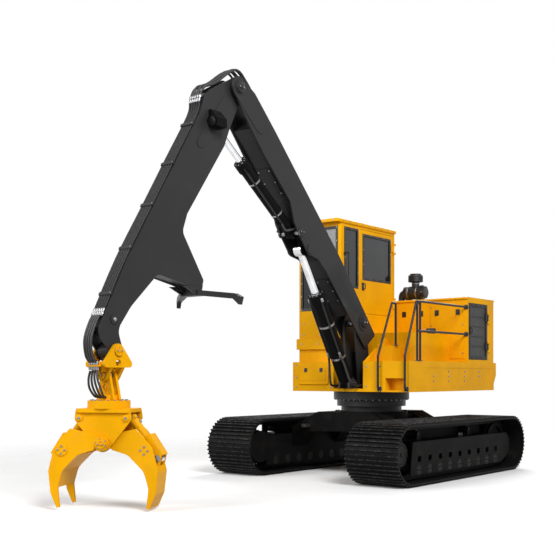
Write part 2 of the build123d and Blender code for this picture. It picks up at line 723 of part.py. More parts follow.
def air_cleaner():
    """Canister on a saddle, with an elbow up to a round pre-cleaner."""
    y0 = FILTER_Y - FILTER_LENGTH / 2
    y1 = FILTER_Y + FILTER_LENGTH / 2
    roof = HOUSE_TOP + HOUSE_ROOF + SEAT
    body = round_y(FILTER_X, FILTER_Z, FILTER_R, y0, y1 - 70)
    body += round_y(FILTER_X, FILTER_Z, FILTER_R + 9, y1 - 90, y1 - 55)
    body += round_y(FILTER_X, FILTER_Z, FILTER_R - 14, y1 - 55, y1)
    for y in (y0 + 70, y1 - 130):
        body += block(FILTER_X - 90, FILTER_X + 90, y - 22, y + 22, roof, FILTER_Z - FILTER_R + 40)
    body += round_z(FILTER_X, FILTER_Y, CAP_R * 0.55, FILTER_Z, CAP_TOP - CAP_HEIGHT + 5)
    body += round_z(FILTER_X, FILTER_Y, CAP_R, CAP_TOP - CAP_HEIGHT, CAP_TOP - 25)
    return body + round_z(FILTER_X, FILTER_Y, CAP_R * 0.8, CAP_TOP - 25, CAP_TOP)


def tank():
    """Tank under the cab walkway, with its filler pad on top."""
    body = block(HOUSE_FRONT + SEAT, TANK_FRONT, TANK_FAR, TANK_NEAR, DECK_TOP + SEAT, TANK_TOP)
    body = fillet(body.edges().filter_by(Axis.Z).group_by(Axis.X)[-1].sort_by(Axis.Y)[-1:], 40)
    return body - block(HOUSE_FRONT + SEAT + TANK_SKIN, TANK_FRONT - TANK_SKIN, TANK_FAR + TANK_SKIN,
                        TANK_NEAR - TANK_SKIN, DECK_TOP + SEAT + TANK_SKIN, TANK_TOP - TANK_SKIN)


def step_box():
    return block(TANK_FRONT + SEAT, STEP_BOX_FRONT, WELL_NEAR + GUARD_PLATE + SEAT, STEP_BOX_NEAR,
                 DECK_TOP + SEAT, STEP_BOX_TOP)


def side_rail():
    """Walkway rail with two bars from one post to the engine house."""
    base = DECK_TOP + SEAT
    end = HOUSE_FRONT + SEAT
    y = DECK_HALF - RAIL_INSET
    top = [(RAIL_FRONT, y, base), (RAIL_FRONT, y, RAIL_TOP), (end, y, RAIL_TOP)]
    bar = [(RAIL_FRONT, y, RAIL_MID), (end, y, RAIL_MID)]
    return tube(top, RAIL_R, RAIL_BEND) + tube(bar, RAIL_R, RAIL_BEND)


def grab_rail(y, lean, foot):
    """Rail from the deck front, up and leaning back, then down to a foot behind."""
    x = DECK_FRONT + RAIL_R + 34
    points = [(DECK_FRONT + SEAT, y, GRAB_FOOT_Z), (x, y, GRAB_FOOT_Z), (x, y, GRAB_KNEE_Z),
              (lean, y, GRAB_TOP), (lean - 120, y, GRAB_TOP), (lean - 120, y, foot + SEAT)]
    return tube(points, RAIL_R, GRAB_BEND)


def handrails():
    """Walkway rail and the two rails beside the front step."""
    return [side_rail(), grab_rail(STEP_BOX_NEAR - 1, GRAB_INNER_LEAN, STEP_BOX_TOP),
            grab_rail(DECK_HALF - STEP_INSET + 45, GRAB_OUTER_LEAN, DECK_TOP)]


# Cab

def cab_plan(grow):
    length = CAB_FRONT - CAB_REAR + 2 * grow
    width = CAB_NEAR - CAB_FAR + 2 * grow
    middle = Pos((CAB_FRONT + CAB_REAR) / 2, (CAB_NEAR + CAB_FAR) / 2)
    return middle * RectangleRounded(length, width, max(CAB_CORNER + grow, CAB_CORNER / 4))


def cab_riser():
    """Hollow plinth with a bumper ledge along its front."""
    base = DECK_TOP + SEAT
    body = extrude(Pos(0, 0, base) * cab_plan(0), amount=RISER_TOP - base)
    body += block(CAB_FRONT - 60, CAB_FRONT + RISER_LEDGE_OUT, CAB_FAR, CAB_NEAR, RISER_LEDGE, RISER_TOP)
    return body - extrude(Pos(0, 0, base - 5) * cab_plan(-DECK_SKIN), amount=RISER_TOP - base - DECK_SKIN)


def window_openings():
    """Rows of name, wall, start, end, sill and head of each fixed window."""
    front_post = CAB_FRONT - CAB_WALL - WINDOW_POST
    near = CAB_NEAR - CAB_WALL - 12
    far = CAB_FAR + CAB_WALL + 12
    return [
        ("front", far, near, WINDSCREEN_SILL, WINDOW_HEAD),
        ("near", DOOR_FRONT + WINDOW_POST, front_post, SIDE_SILL, WINDOW_HEAD),
        ("far", DOOR_FRONT + WINDOW_POST, front_post, SIDE_SILL, WINDOW_HEAD),
        ("far", CAB_REAR + CAB_WALL + WINDOW_POST, DOOR_FRONT - WINDOW_POST, SIDE_SILL, WINDOW_HEAD),
        ("rear", far, near, SIDE_SILL, WINDOW_HEAD),
    ]


def in_wall(wall, start, end, sill, head, depth0, depth1):
    """Block in a cab wall, between two depths in from its outer face."""
    if wall == "front":
        return block(CAB_FRONT - depth1, CAB_FRONT - depth0, start, end, sill, head)
    if wall == "rear":
        return block(CAB_REAR + depth0, CAB_REAR + depth1, start, end, sill, head)
    if wall == "near":
        return block(start, end, CAB_NEAR - depth1, CAB_NEAR - depth0, sill, head)
    return block(start, end, CAB_FAR + depth0, CAB_FAR + depth1, sill, head)


door_hinge_y = CAB_NEAR + HINGE_R


def cab_shell():
    """Folded shell with a raised floor, window openings and the door opening."""
    base = RISER_TOP + SEAT
    body = extrude(Pos(0, 0, base) * cab_plan(0), amount=CAB_TOP - base)
    body -= extrude(Pos(0, 0, CAB_FLOOR) * cab_plan(-CAB_WALL), amount=CAB_TOP - CAB_FLOOR + 5)
    body -= extrude(Pos(0, 0, base - 5) * cab_plan(-CAB_WALL), amount=CAB_FLOOR - base - 35)
    for wall, start, end, sill, head in window_openings():
        body -= in_wall(wall, start, end, sill, head, -5, CAB_WALL + 5)
    body -= block(DOOR_REAR, DOOR_FRONT, CAB_NEAR - CAB_WALL - 5, CAB_NEAR + 5, DOOR_BOTTOM, DOOR_TOP)
    for z in (DOOR_BOTTOM + HINGE_INSET, DOOR_TOP - HINGE_INSET):
        for knuckle in fixed_knuckles(DOOR_REAR + DOOR_GAP, door_hinge_y, CAB_NEAR - 2, z):
            body += knuckle
    return body


def cab_roof():
    length = CAB_FRONT - CAB_REAR + ROOF_FRONT + ROOF_SIDE
    width = CAB_NEAR - CAB_FAR + 2 * ROOF_SIDE
    middle = (CAB_FRONT + ROOF_FRONT + CAB_REAR - ROOF_SIDE) / 2
    plan = Pos(middle, (CAB_NEAR + CAB_FAR) / 2) * RectangleRounded(length, width, CAB_CORNER)
    roof = extrude(Pos(0, 0, CAB_TOP + SEAT) * plan, amount=CAB_ROOF)
    return fillet(roof.faces().sort_by(Axis.Z)[-1].edges(), 18)


def cab_glass():
    return [in_wall(wall, start + SEAT, end - SEAT, sill + SEAT, head - SEAT, 12, 12 + PANE)
            for wall, start, end, sill, head in window_openings()]


door_face = CAB_NEAR - 4.0
door_window = (DOOR_REAR + 95.0, DOOR_FRONT - 95.0, DOOR_SILL, DOOR_TOP - 85.0)


def cab_door():
    """Door leaf with its window opening, hinge knuckles at the rear edge."""
    gap = DOOR_GAP
    leaf = block(DOOR_REAR + gap, DOOR_FRONT - gap, door_face - DOOR_THICK, door_face, DOOR_BOTTOM + gap,
                 DOOR_TOP - gap)
    x0, x1, z0, z1 = door_window
    leaf -= block(x0, x1, door_face - DOOR_THICK - 5, door_face + 5, z0, z1)
    for z in (DOOR_BOTTOM + HINGE_INSET, DOOR_TOP - HINGE_INSET):
        leaf += moving_knuckle(DOOR_REAR + gap, door_hinge_y, door_face - 2, z)
    return leaf


def door_glass():
    x0, x1, z0, z1 = door_window
    return block(x0 + SEAT, x1 - SEAT, door_face - 12 - PANE, door_face - 12, z0 + SEAT, z1 - SEAT)


def operator_seat():
    """Suspension seat: pedestal, cushion and curved back."""
    y = (CAB_NEAR + CAB_FAR) / 2
    z = CAB_FLOOR + SEAT
    foot = SEAT_BASE_HALF
    pedestal = block(SEAT_X - foot, SEAT_X + foot, y - foot, y + foot, z, z + SEAT_BASE_TOP)
    cushion = block(SEAT_X + SEAT_FRONT - 2 * SEAT_HALF, SEAT_X + SEAT_FRONT, y - SEAT_HALF, y + SEAT_HALF,
                    z + SEAT_BASE_TOP, z + SEAT_CUSHION_TOP)
    cushion = fillet(cushion.edges(), (SEAT_CUSHION_TOP - SEAT_BASE_TOP) * 0.3)
    rear = SEAT_X - SEAT_REAR
    back = shape((rear + SEAT_BACK_THICK, z + SEAT_BACK_FOOT), (rear, z + SEAT_BACK_FOOT),
                 (rear - SEAT_BACK_LEAN, z + SEAT_BACK_TOP),
                 (rear + SEAT_BACK_THICK - SEAT_BACK_LEAN, z + SEAT_BACK_TOP))
    back = upright(back, y - SEAT_HALF * 0.92, y + SEAT_HALF * 0.92)
    back = fillet(back.edges().filter_by(Axis.Y), SEAT_BACK_THICK * 0.3)
    return pedestal + cushion + back


def control_pods():
    """Armrest consoles with a joystick each."""
    y = (CAB_NEAR + CAB_FAR) / 2
    z = CAB_FLOOR + SEAT
    pods = []
    for way in (-1, 1):
        mid = y + way * POD_SIDE
        pod = block(SEAT_X - POD_REAR, SEAT_X + POD_FRONT, mid - POD_HALF, mid + POD_HALF, z, z + POD_TOP)
        slope = shape((SEAT_X + POD_REAR, z - 5), (SEAT_X + POD_FRONT + 5, z - 5),
                      (SEAT_X + POD_FRONT + 5, z + POD_SLOPE))
        pod -= upright(slope, mid - POD_HALF - 5, mid + POD_HALF + 5)
        pod += round_z(SEAT_X + LEVER_X, mid, LEVER_R, z + POD_TOP - 10, z + LEVER_TOP)
        pods.append(pod + Pos(SEAT_X + LEVER_X, mid, z + LEVER_TOP) * Sphere(KNOB_R))
    return pods


# Boom

def on_boom(distance, height):
    """Point in X and Z, from the foot pivot along the boom and square to it."""
    return (FOOT_X + distance * cos(boom_angle) - height * sin(boom_angle),
            FOOT_Z + distance * sin(boom_angle) + height * cos(boom_angle))


lift_base = (LIFT_BASE_X, LIFT_BASE_Z)
lift_eye = on_boom(LIFT_EYE_ALONG, -LIFT_EYE_DROP)
crowd_base = on_boom(CROWD_BASE_ALONG, -CROWD_BASE_DROP)


def boom():
    """Welded box with forked ends and a twin-plate bracket under its belly."""
    half = BOOM_WIDTH / 2
    inner = half - BOOM_PLATE
    belly = -BOOM_BELOW - BELLY_DROP
    length = boom_length
    outline = shape(on_boom(-FOOT_HEEL, 120), on_boom(0.27 * length, BOOM_ABOVE - 12),
                    on_boom(0.8 * length, BOOM_ABOVE), on_boom(0.945 * length, BOOM_ABOVE - 14),
                    on_boom(length + 50, TIP_BOSS_R - 10), on_boom(length, -TIP_BOSS_R + 2),
                    on_boom(0.79 * length, -BOOM_BELOW - 12),
                    on_boom(BELLY_END, -BOOM_BELOW + 14), on_boom(BELLY_END - 300, belly + 45),
                    on_boom(BELLY_START + 220, belly), on_boom(BELLY_START + 130, belly),
                    on_boom(BELLY_START - 60, -BOOM_BELOW - 45), on_boom(BELLY_START - 330, -BOOM_BELOW - 15),
                    on_boom(0.13 * length, -BOOM_BELOW - 35), on_boom(-FOOT_HEEL + 60, -BOOM_BELOW - 60))
    outline = fillet(outline.vertices().filter_by(lambda v: abs(v.X - TIP_X) > 300), 45)
    outline += disc(TIP_X, TIP_Z, TIP_BOSS_R)
    box_line = shape(on_boom(FOOT_CLEAR, -BOX_BOTTOM), on_boom(FOOT_CLEAR, BOOM_ABOVE - 60),
                     on_boom(0.27 * length, BOOM_ABOVE - 22), on_boom(0.8 * length, BOOM_ABOVE - 10),
                     on_boom(length - TIP_CLEAR, BOOM_ABOVE - 18),
                     on_boom(length - TIP_CLEAR, 18 - BOX_BOTTOM),
                     on_boom(BELLY_END, 14 - BOX_BOTTOM), on_boom(NICHE_END + 100, 2 - BOX_BOTTOM),
                     on_boom(NICHE_END, -NICHE_TOP), on_boom(NICHE_START, -NICHE_TOP),
                     on_boom(NICHE_START - 120, 3 - BOX_BOTTOM))
    foot_hole = disc(FOOT_X, FOOT_Z, PIN_R + BORE_PLAY)
    tip_hole = disc(TIP_X, TIP_Z, PIN_R + SEAT)
    base_hole = disc(*crowd_base, BASE_PIN_R + SEAT)
    plate = outline - foot_hole - tip_hole - base_hole
    body = upright(box_line - offset(box_line, -BOOM_SKIN), -inner, inner)
    for side in (-1, 1):
        body += upright(plate, side * inner, side * half)
        body += upright(disc(TIP_X, TIP_Z, PIN_R + 45) - tip_hole, side * half, side * (half + BOSS))
        body += upright(disc(FOOT_X, FOOT_Z, PIN_R + 75) - foot_hole, side * half, side * (half + BOSS))
        body += round_y(*lift_eye, BASE_PIN_R + 30, side * half, side * (half + BOSS))
    return body


def pin(x, z, radius, half, cap):
    """Pivot pin with a round cap at each end."""
    bar = round_y(x, z, radius, -half, half)
    for side in (-1, 1):
        bar += round_y(x, z, radius + 20, side * half, side * (half + cap))
    return bar


def cylinder(base, eye, barrel_r, rod_r, gland, eye_r, half, pin_r, retract):
    """Barrel with base eye and gland, and the rod with its eye, as two solids."""
    start = (base[0], 0, base[1])
    end = (eye[0], 0, eye[1])
    length = hypot(eye[0] - base[0], eye[1] - base[1])
    bottom = eye_r * 1.05
    collar = gland - min(150, gland / 4)
    barrel = along(start, end, barrel_r, eye_r * 0.9, collar)
    barrel += along(start, end, barrel_r + GLAND_WALL, collar, gland)
    barrel += round_y(base[0], base[1], eye_r, -half, half)
    barrel -= round_y(base[0], base[1], pin_r + BORE_PLAY, -barrel_r - half, barrel_r + half)
    barrel -= along(start, end, rod_r + BORE_PLAY, bottom, gland + 5)
    rod = along(start, end, rod_r, bottom + retract + RUN_GAP, length - eye_r * 0.5)
    rod += round_y(eye[0], eye[1], eye_r, -half, half)
    return barrel, rod


# Stick

stick_angle = atan2(STICK_END_Z - TIP_Z, STICK_END_X - TIP_X)
stick_length = hypot(STICK_END_X - TIP_X, STICK_END_Z - TIP_Z)


def on_stick(distance, height):
    """Point in X and Z, from the head pivot along the stick, height towards the front."""
    return (TIP_X + distance * cos(stick_angle) - height * sin(stick_angle),
            TIP_Z + distance * sin(stick_angle) + height * cos(stick_angle))


crowd_eye = on_stick(CROWD_EYE_ALONG, -CROWD_EYE_BACK)


def stick():
    """Tapered box with an open head, a heel gusset and a hooked end."""
    half = STICK_WIDTH / 2
    inner = half - STICK_PLATE
    length = stick_length
    front = STICK_FRONT
    rear = -STICK_REAR
    plate = shape(on_stick(-40, -STICK_HUB_R + 6), on_stick(-40, STICK_HUB_R - 6), on_stick(410, front + 5),
                  on_stick(545, front + 50), on_stick(800, front - 15), on_stick(0.75 * length, front + 35),
                  on_stick(0.975 * length, front - 20), on_stick(length - 20, front - 60),
                  on_stick(length + 50, STICK_END_R - 14), on_stick(length - 100, -STICK_END_R + 60),
                  on_stick(0.945 * length, 0.28 * front), on_stick(0.86 * length, 0.18 * front),
                  on_stick(0.72 * length, rear + 30), on_stick(0.655 * length, -HEEL_REACH),
                  on_stick(0.622 * length, -HEEL_REACH + 40), on_stick(0.55 * length, rear - 50),
                  on_stick(0.49 * length, rear), on_stick(870, rear - 100), on_stick(620, rear - 65))
    plate = rounded(plate, [(on_stick(0.975 * length, front - 20), 150),
                            (on_stick(length - 20, front - 60), 90),
                            (on_stick(length - 100, -STICK_END_R + 60), 25),
                            (on_stick(0.945 * length, 0.28 * front), 170),
                            (on_stick(0.86 * length, 0.18 * front), 500),
                            (on_stick(0.72 * length, rear + 30), 110),
                            (on_stick(0.655 * length, -HEEL_REACH), 25),
                            (on_stick(0.622 * length, 40 - HEEL_REACH), 25),
                            (on_stick(0.55 * length, rear - 50), 120)])
    plate += disc(TIP_X, TIP_Z, STICK_HUB_R) + disc(STICK_END_X, STICK_END_Z, STICK_END_R)
    plate -= disc(TIP_X, TIP_Z, PIN_R + BORE_PLAY) + disc(STICK_END_X, STICK_END_Z, STICK_PIN_R + BORE_PLAY)
    core = shape(on_stick(450, 250), on_stick(430, front - 10), on_stick(545, front + 35),
                 on_stick(800, front - 28), on_stick(0.75 * length, front + 22),
                 on_stick(0.97 * length, front - 40), on_stick(0.965 * length, 140),
                 on_stick(0.86 * length, 0.18 * front + 14), on_stick(0.72 * length, rear + 44),
                 on_stick(0.652 * length, -HEEL_REACH + 40), on_stick(0.63 * length, -HEEL_REACH + 60),
                 on_stick(0.55 * length, rear - 34), on_stick(0.49 * length, rear + 14),
                 on_stick(1150, rear - 66), on_stick(1010, 160))
    body = upright(core - offset(core, -STICK_SKIN), -inner, inner)
    hub = disc(TIP_X, TIP_Z, STICK_HUB_R - 25) - disc(TIP_X, TIP_Z, PIN_R + BORE_PLAY)
    body += upright(hub, -half - 18, half + 18)
    tip = disc(STICK_END_X, STICK_END_Z, STICK_END_R - 12)
    tip -= disc(STICK_END_X, STICK_END_Z, STICK_PIN_R + BORE_PLAY)
    body += upright(tip, -half, half)
    for side in (-1, 1):
        body += upright(plate, side * inner, side * half)
        body += round_y(*crowd_eye, BASE_PIN_R + 25, side * half, side * (half + BOSS))
    return body


def heel_bar():
    """Bar under the heel whose two arms sweep back and end in turned-down tips to steady logs."""
    x, top = on_stick(0.655 * stick_length, -HEEL_REACH)
    x += HEEL_BAR_DEPTH * 0.4
    top -= SEAT
    low = top - HEEL_BAR_THICK
    end = HEEL_BAR_HALF
    root = STICK_WIDTH / 2 + 2 * HEEL_EAR
    slim = HEEL_BAR_DEPTH / 2
    drop = HEEL_BAR_DROP
    rise = shape((0, top), (root, top), (end - slim, top - drop * 0.35), (end, top - drop * 0.75),
                 (end - 0.3 * slim, low - drop), (end - 1.2 * slim, low - drop * 0.35), (root, low), (0, low))
    plan = shape((x + slim, 0), (x + slim, root), (x - HEEL_BAR_SWEEP + 0.6 * slim, end),
                 (x - HEEL_BAR_SWEEP - 0.6 * slim, end), (x - slim, root), (x - slim, 0))
    rise += mirror(rise, Plane.YZ)
    plan += mirror(plan, Plane.XZ)
    arms = crosswise(rise, x - HEEL_BAR_SWEEP - slim, x + slim)
    arms &= extrude(Pos(0, 0, low - drop) * plan, amount=HEEL_BAR_THICK + drop)
    heel = shape(on_stick(0.69 * stick_length, -0.625 * HEEL_REACH),
                 on_stick(0.64 * stick_length, -0.965 * HEEL_REACH), (x - 0.4 * slim, low + 10),
                 (x + 0.9 * slim, low + 10))
    for side in (-1, 1):
        y = side * (STICK_WIDTH / 2 + SEAT)
        arms += upright(heel, y, y + side * HEEL_EAR)
    return arms


# Grapple

swivel_z = STICK_END_Z - LINK_DROP


def hanger_link():
    """Cross of four plates: two hang on the stick pin, two square to them hold the pin below."""
    x = STICK_END_X
    ear = STICK_WIDTH / 2 + RUN_GAP
    foot = KNUCKLE_HALF + RUN_GAP
    waist = LINK_WAIST_HALF - LINK_WAIST_R
    side = ear + LINK_EAR - LINK_WAIST_R
    upper = hull((x, STICK_END_Z, LINK_HEAD_R), (x - waist, LINK_WAIST_Z, LINK_WAIST_R),
                 (x + waist, LINK_WAIST_Z, LINK_WAIST_R))
    upper -= disc(x, STICK_END_Z, STICK_PIN_R + SEAT) + disc(x, LINK_WAIST_Z + 12, LINK_HOLE_R - 20)
    lower = hull((0, swivel_z, LINK_FOOT_R), (-side, LINK_WAIST_Z - 16, LINK_WAIST_R),
                 (side, LINK_WAIST_Z - 16, LINK_WAIST_R))
    lower -= disc(0, swivel_z, LINK_PIN_R + SEAT)
    link = []
    for way in (-1, 1):
        link.append(upright(upper, way * ear, way * (ear + LINK_EAR)))
        link.append(crosswise(lower, x + way * foot, x + way * (foot + LINK_EAR)))
    return link[0] + link[1] + link[2] + link[3]


def swivel_pin():
    reach = KNUCKLE_HALF + RUN_GAP + LINK_EAR
    x = STICK_END_X
    bar = round_x(0, swivel_z, LINK_PIN_R, x - reach - SEAT, x + reach + SEAT)
    for side in (-1, 1):
        bar += round_x(0, swivel_z, LINK_PIN_R + 18, x + side * (reach + SEAT), x + side * (reach + 16))
    return bar


def rotator():
    """Two yoke plates on the swivel pin, standing on the round rotator housing."""
    x = STICK_END_X
    foot = YOKE_FOOT_HALF - 20
    yoke = hull((0, swivel_z, LINK_HEAD_R - 12), (-foot, ROTATOR_TOP + 20, 20), (foot, ROTATOR_TOP + 20, 20))
    yoke -= disc(0, swivel_z, LINK_PIN_R + BORE_PLAY) + disc(0, (swivel_z + ROTATOR_TOP) / 2, YOKE_HOLE_R)
    body = round_z(x, 0, ROTATOR_R, ROTATOR_BOTTOM, ROTATOR_TOP)
    body += round_z(x, 0, ROTATOR_MOTOR_R, ROTATOR_TOP, ROTATOR_TOP + ROTATOR_MOTOR)
    for way in (-1, 1):
        body += crosswise(yoke, x + way * (KNUCKLE_HALF - YOKE_PLATE), x + way * KNUCKLE_HALF)
    return body


turn = Pos(STICK_END_X, 0, 0) * Rot(0, 0, GRAPPLE_TURN + 90)


def grapple_head():
    """Top plate with two tapering cheek plates that hold the jaw pin and the ram pins."""
    top = ROTATOR_BOTTOM - ROTATOR_GAP
    half = CHEEK_SPREAD / 2
    corner = HEAD_WIDTH / 2 - 28
    cheek = hull((-corner, top - 30, 28), (corner, top - 30, 28), (-RAM_BASE_U, RAM_BASE_Z, CHEEK_SHOULDER_R),
                 (RAM_BASE_U, RAM_BASE_Z, CHEEK_SHOULDER_R), (JAW_PIVOT_U, JAW_PIVOT_Z, CHEEK_FOOT_R))
    cheek -= disc(JAW_PIVOT_U, JAW_PIVOT_Z, JAW_PIN_R + SEAT)
    for way in (-1, 1):
        cheek -= disc(way * RAM_BASE_U, RAM_BASE_Z, RAM_PIN_R + SEAT)
    plate = RectangleRounded(HEAD_WIDTH, CHEEK_SPREAD + 2 * HEAD_LIP, 60)
    head = extrude(Pos(0, 0, top - HEAD_PLATE) * plate, amount=HEAD_PLATE)
    for side in (-1, 1):
        head += upright(cheek, side * half, side * (half - CHEEK_PLATE))
    return turn * head


# Outer faces of the jaws' side plates; the left jaw works inside the cheeks, the right one outside
jaw_half = {1: CHEEK_SPREAD / 2 - CHEEK_PLATE - RUN_GAP, -1: CHEEK_SPREAD / 2 + RUN_GAP + TINE_PLATE}


def grapple_pins():
    """Jaw pin and the two ram pins."""
    reach = jaw_half[-1] + JAW_BOSS + 4
    hold = CHEEK_SPREAD / 2 + 4
    pins = [turn * round_y(JAW_PIVOT_U, JAW_PIVOT_Z, JAW_PIN_R, -reach, reach)]
    return pins + [turn * round_y(way * RAM_BASE_U, RAM_BASE_Z, RAM_PIN_R, -hold, hold) for way in (-1, 1)]


def from_pin(rows):
    return [(JAW_PIVOT_U + out, JAW_PIVOT_Z + up) for out, up in rows]


def jaw(way):
    """Two side plates joined by a curved front plate and a back plate, with a guard over the ram."""
    back = from_pin(JAW_BACK)
    front = from_pin(JAW_FRONT)
    half = jaw_half[way]
    inner = half - TINE_PLATE
    tine = rounded(shape(*back, *front), [(back[3], 60), (back[4], 150), (back[5], 150), (front[1], 150),
                                          (front[2], 200), (front[3], 150)])
    tine += disc(JAW_PIVOT_U, JAW_PIVOT_Z, JAW_BOSS_R)
    hole = disc(JAW_PIVOT_U, JAW_PIVOT_Z, JAW_PIN_R + BORE_PLAY)
    eye = (RAM_EYE_U, RAM_EYE_Z)
    begin = between(back[3], back[4], 0.75)
    if way > 0:
        webs = strip(front[3::-1], TINE_WEB) + strip([begin, *back[4:]], -TINE_WEB)
    else:
        stop = between(back[4], back[5], 0.5)
        webs = strip(front[3:0:-1], TINE_WEB) + strip([begin, back[4], stop], -TINE_WEB)
    slot = RAM_BARREL_R + GLAND_WALL + RUN_GAP
    cover = [(eye[0] + 58, eye[1] + 39), (eye[0] - 108, eye[1] + 289)]
    lug = shape((eye[0] - 125, eye[1] - 190), (eye[0] - 60, eye[1] - 240), (eye[0] + 28, eye[1] - 120),
                cover[0], cover[1], (eye[0] - 150, eye[1] + 262), (eye[0] - 78, eye[1] + 110))
    solid = upright(strip(cover, -LUG_SIDE), -slot - LUG_SIDE, slot + LUG_SIDE)
    solid += upright(webs & tine, -inner, inner)
    for side in (-1, 1):
        solid += upright(tine - hole, side * inner, side * half)
        solid += upright(lug, side * slot, side * (slot + LUG_SIDE))
        doubler = disc(back[3][0] - TINE_DOUBLER_R - 25, back[3][1] - TINE_DOUBLER_R / 2, TINE_DOUBLER_R)
        if way < 0:
            doubler += disc(JAW_PIVOT_U, JAW_PIVOT_Z, JAW_BOSS_R - 12) - hole
            solid += upright(doubler, side * half, side * (half + JAW_BOSS))
    if way < 0:
        solid = mirror(solid, Plane.YZ)
    return turn * solid


def ram(way):
    """Jaw cylinder between the head and the jaw."""
    barrel, rod = cylinder((RAM_BASE_U, RAM_BASE_Z), (RAM_EYE_U, RAM_EYE_Z), RAM_BARREL_R, RAM_ROD_R,
                           RAM_GLAND, RAM_EYE_R, RAM_EYE_HALF, RAM_PIN_R, RAM_RETRACT)
    if way < 0:
        barrel = mirror(barrel, Plane.YZ)
        rod = mirror(rod, Plane.YZ)
    return turn * barrel, turn * rod


def build():
    """All nodes by name, each a list of solids that don't touch."""
    sides = (1, -1)
    lift_barrel, lift_rod = cylinder(lift_base, lift_eye, LIFT_BARREL_R, LIFT_ROD_R, LIFT_GLAND, LIFT_EYE_R,
                                     CYLINDER_EYE_HALF, BASE_PIN_R, LIFT_RETRACT)
    stick_barrel, stick_rod = cylinder(crowd_base, crowd_eye, CROWD_BARREL_R, CROWD_ROD_R, CROWD_GLAND,
                                       CROWD_EYE_R, CYLINDER_EYE_HALF, BASE_PIN_R, CROWD_RETRACT)
    lug_half = CYLINDER_EYE_HALF + RUN_GAP + LUG_PLATE
    link_half = STICK_WIDTH / 2 + RUN_GAP + LINK_EAR
    nodes = {
        "track_left": [track_loop(TRACK_Y)],
        "track_right": [track_loop(-TRACK_Y)],
        "track_frame_left": [track_frame(1)],
        "track_frame_right": [track_frame(-1)],
        "bottom_rollers": [bottom_roller(x, side * TRACK_Y) for side in sides for x in roller_xs],
        "carrier_rollers": [carrier_roller(x, side * TRACK_Y) for side in sides for x in carrier_xs],
        "sprockets": [sprocket(side) for side in sides],
        "idlers": [idler(side) for side in sides],
        "carbody": [carbody()],
        "tow_eyes": [tow_eye(side) for side in sides],
        "slew_ring": [slew_ring()],
        "house_ring": [house_ring()],
        "deck": [deck()],
        "tool_door": [tool_door()],
        "counterweight": [counterweight()],
        "mast": [mast()],
        "mast_pins": [pin(FOOT_X, FOOT_Z, PIN_R, BOOM_WIDTH / 2 + BOSS + RUN_GAP, BOSS),
                      pin(*lift_base, BASE_PIN_R, lug_half + SEAT, BOSS)],
        "engine_house": [engine_house()],
        "engine_roof": [engine_roof()],
        "cooler_door": [cooler_door()],
        "cooler_core": [cooler_core()],
        "engine": [engine()],
        "air_cleaner": [air_cleaner()],
        "tank": [tank()],
        "step_box": [step_box()],
        "handrails": handrails(),
        "cab_riser": [cab_riser()],
        "cab_shell": [cab_shell()],
        "cab_roof": [cab_roof()],
        "cab_glass": cab_glass(),
        "cab_door": [cab_door()],
        "door_glass": [door_glass()],
        "operator_seat": [operator_seat()],
        "control_pods": control_pods(),
        "boom": [boom()],
        "boom_pins": [pin(TIP_X, TIP_Z, PIN_R, BOOM_WIDTH / 2 + BOSS + SEAT, BOSS),
                      pin(*crowd_base, BASE_PIN_R, BOOM_WIDTH / 2 + SEAT, BOSS)],
        "lift_barrel": [lift_barrel],
        "lift_rod": [lift_rod],
        "stick_barrel": [stick_barrel],
        "stick_rod": [stick_rod],
        "stick": [stick()],
        "heel_bar": [heel_bar()],
        "hanger_link": [hanger_link()],
        "hanger_pins": [pin(STICK_END_X, STICK_END_Z, STICK_PIN_R, link_half + SEAT, BOSS), swivel_pin()],
        "rotator": [rotator()],
        "grapple_head": [grapple_head()],
        "grapple_pins": grapple_pins(),
    }
    for name, way in (("left", 1), ("right", -1)):
        nodes[f"jaw_{name}"] = [jaw(way)]
        barrel, rod = ram(way)
        nodes[f"ram_barrel_{name}"] = [barrel]
        nodes[f"ram_rod_{name}"] = [rod]
    return nodes


if __name__ == "__main__":
    os.makedirs("parts", exist_ok=True)
    for node, solids in build().items():
        loose = [solid for piece in solids for solid in piece.solids()]
        export_step(Compound(children=loose) if len(loose) > 1 else loose[0], f"parts/{node}.step")
        print(node, len(loose), round(sum(solid.volume for solid in loose) / 1e9, 4))
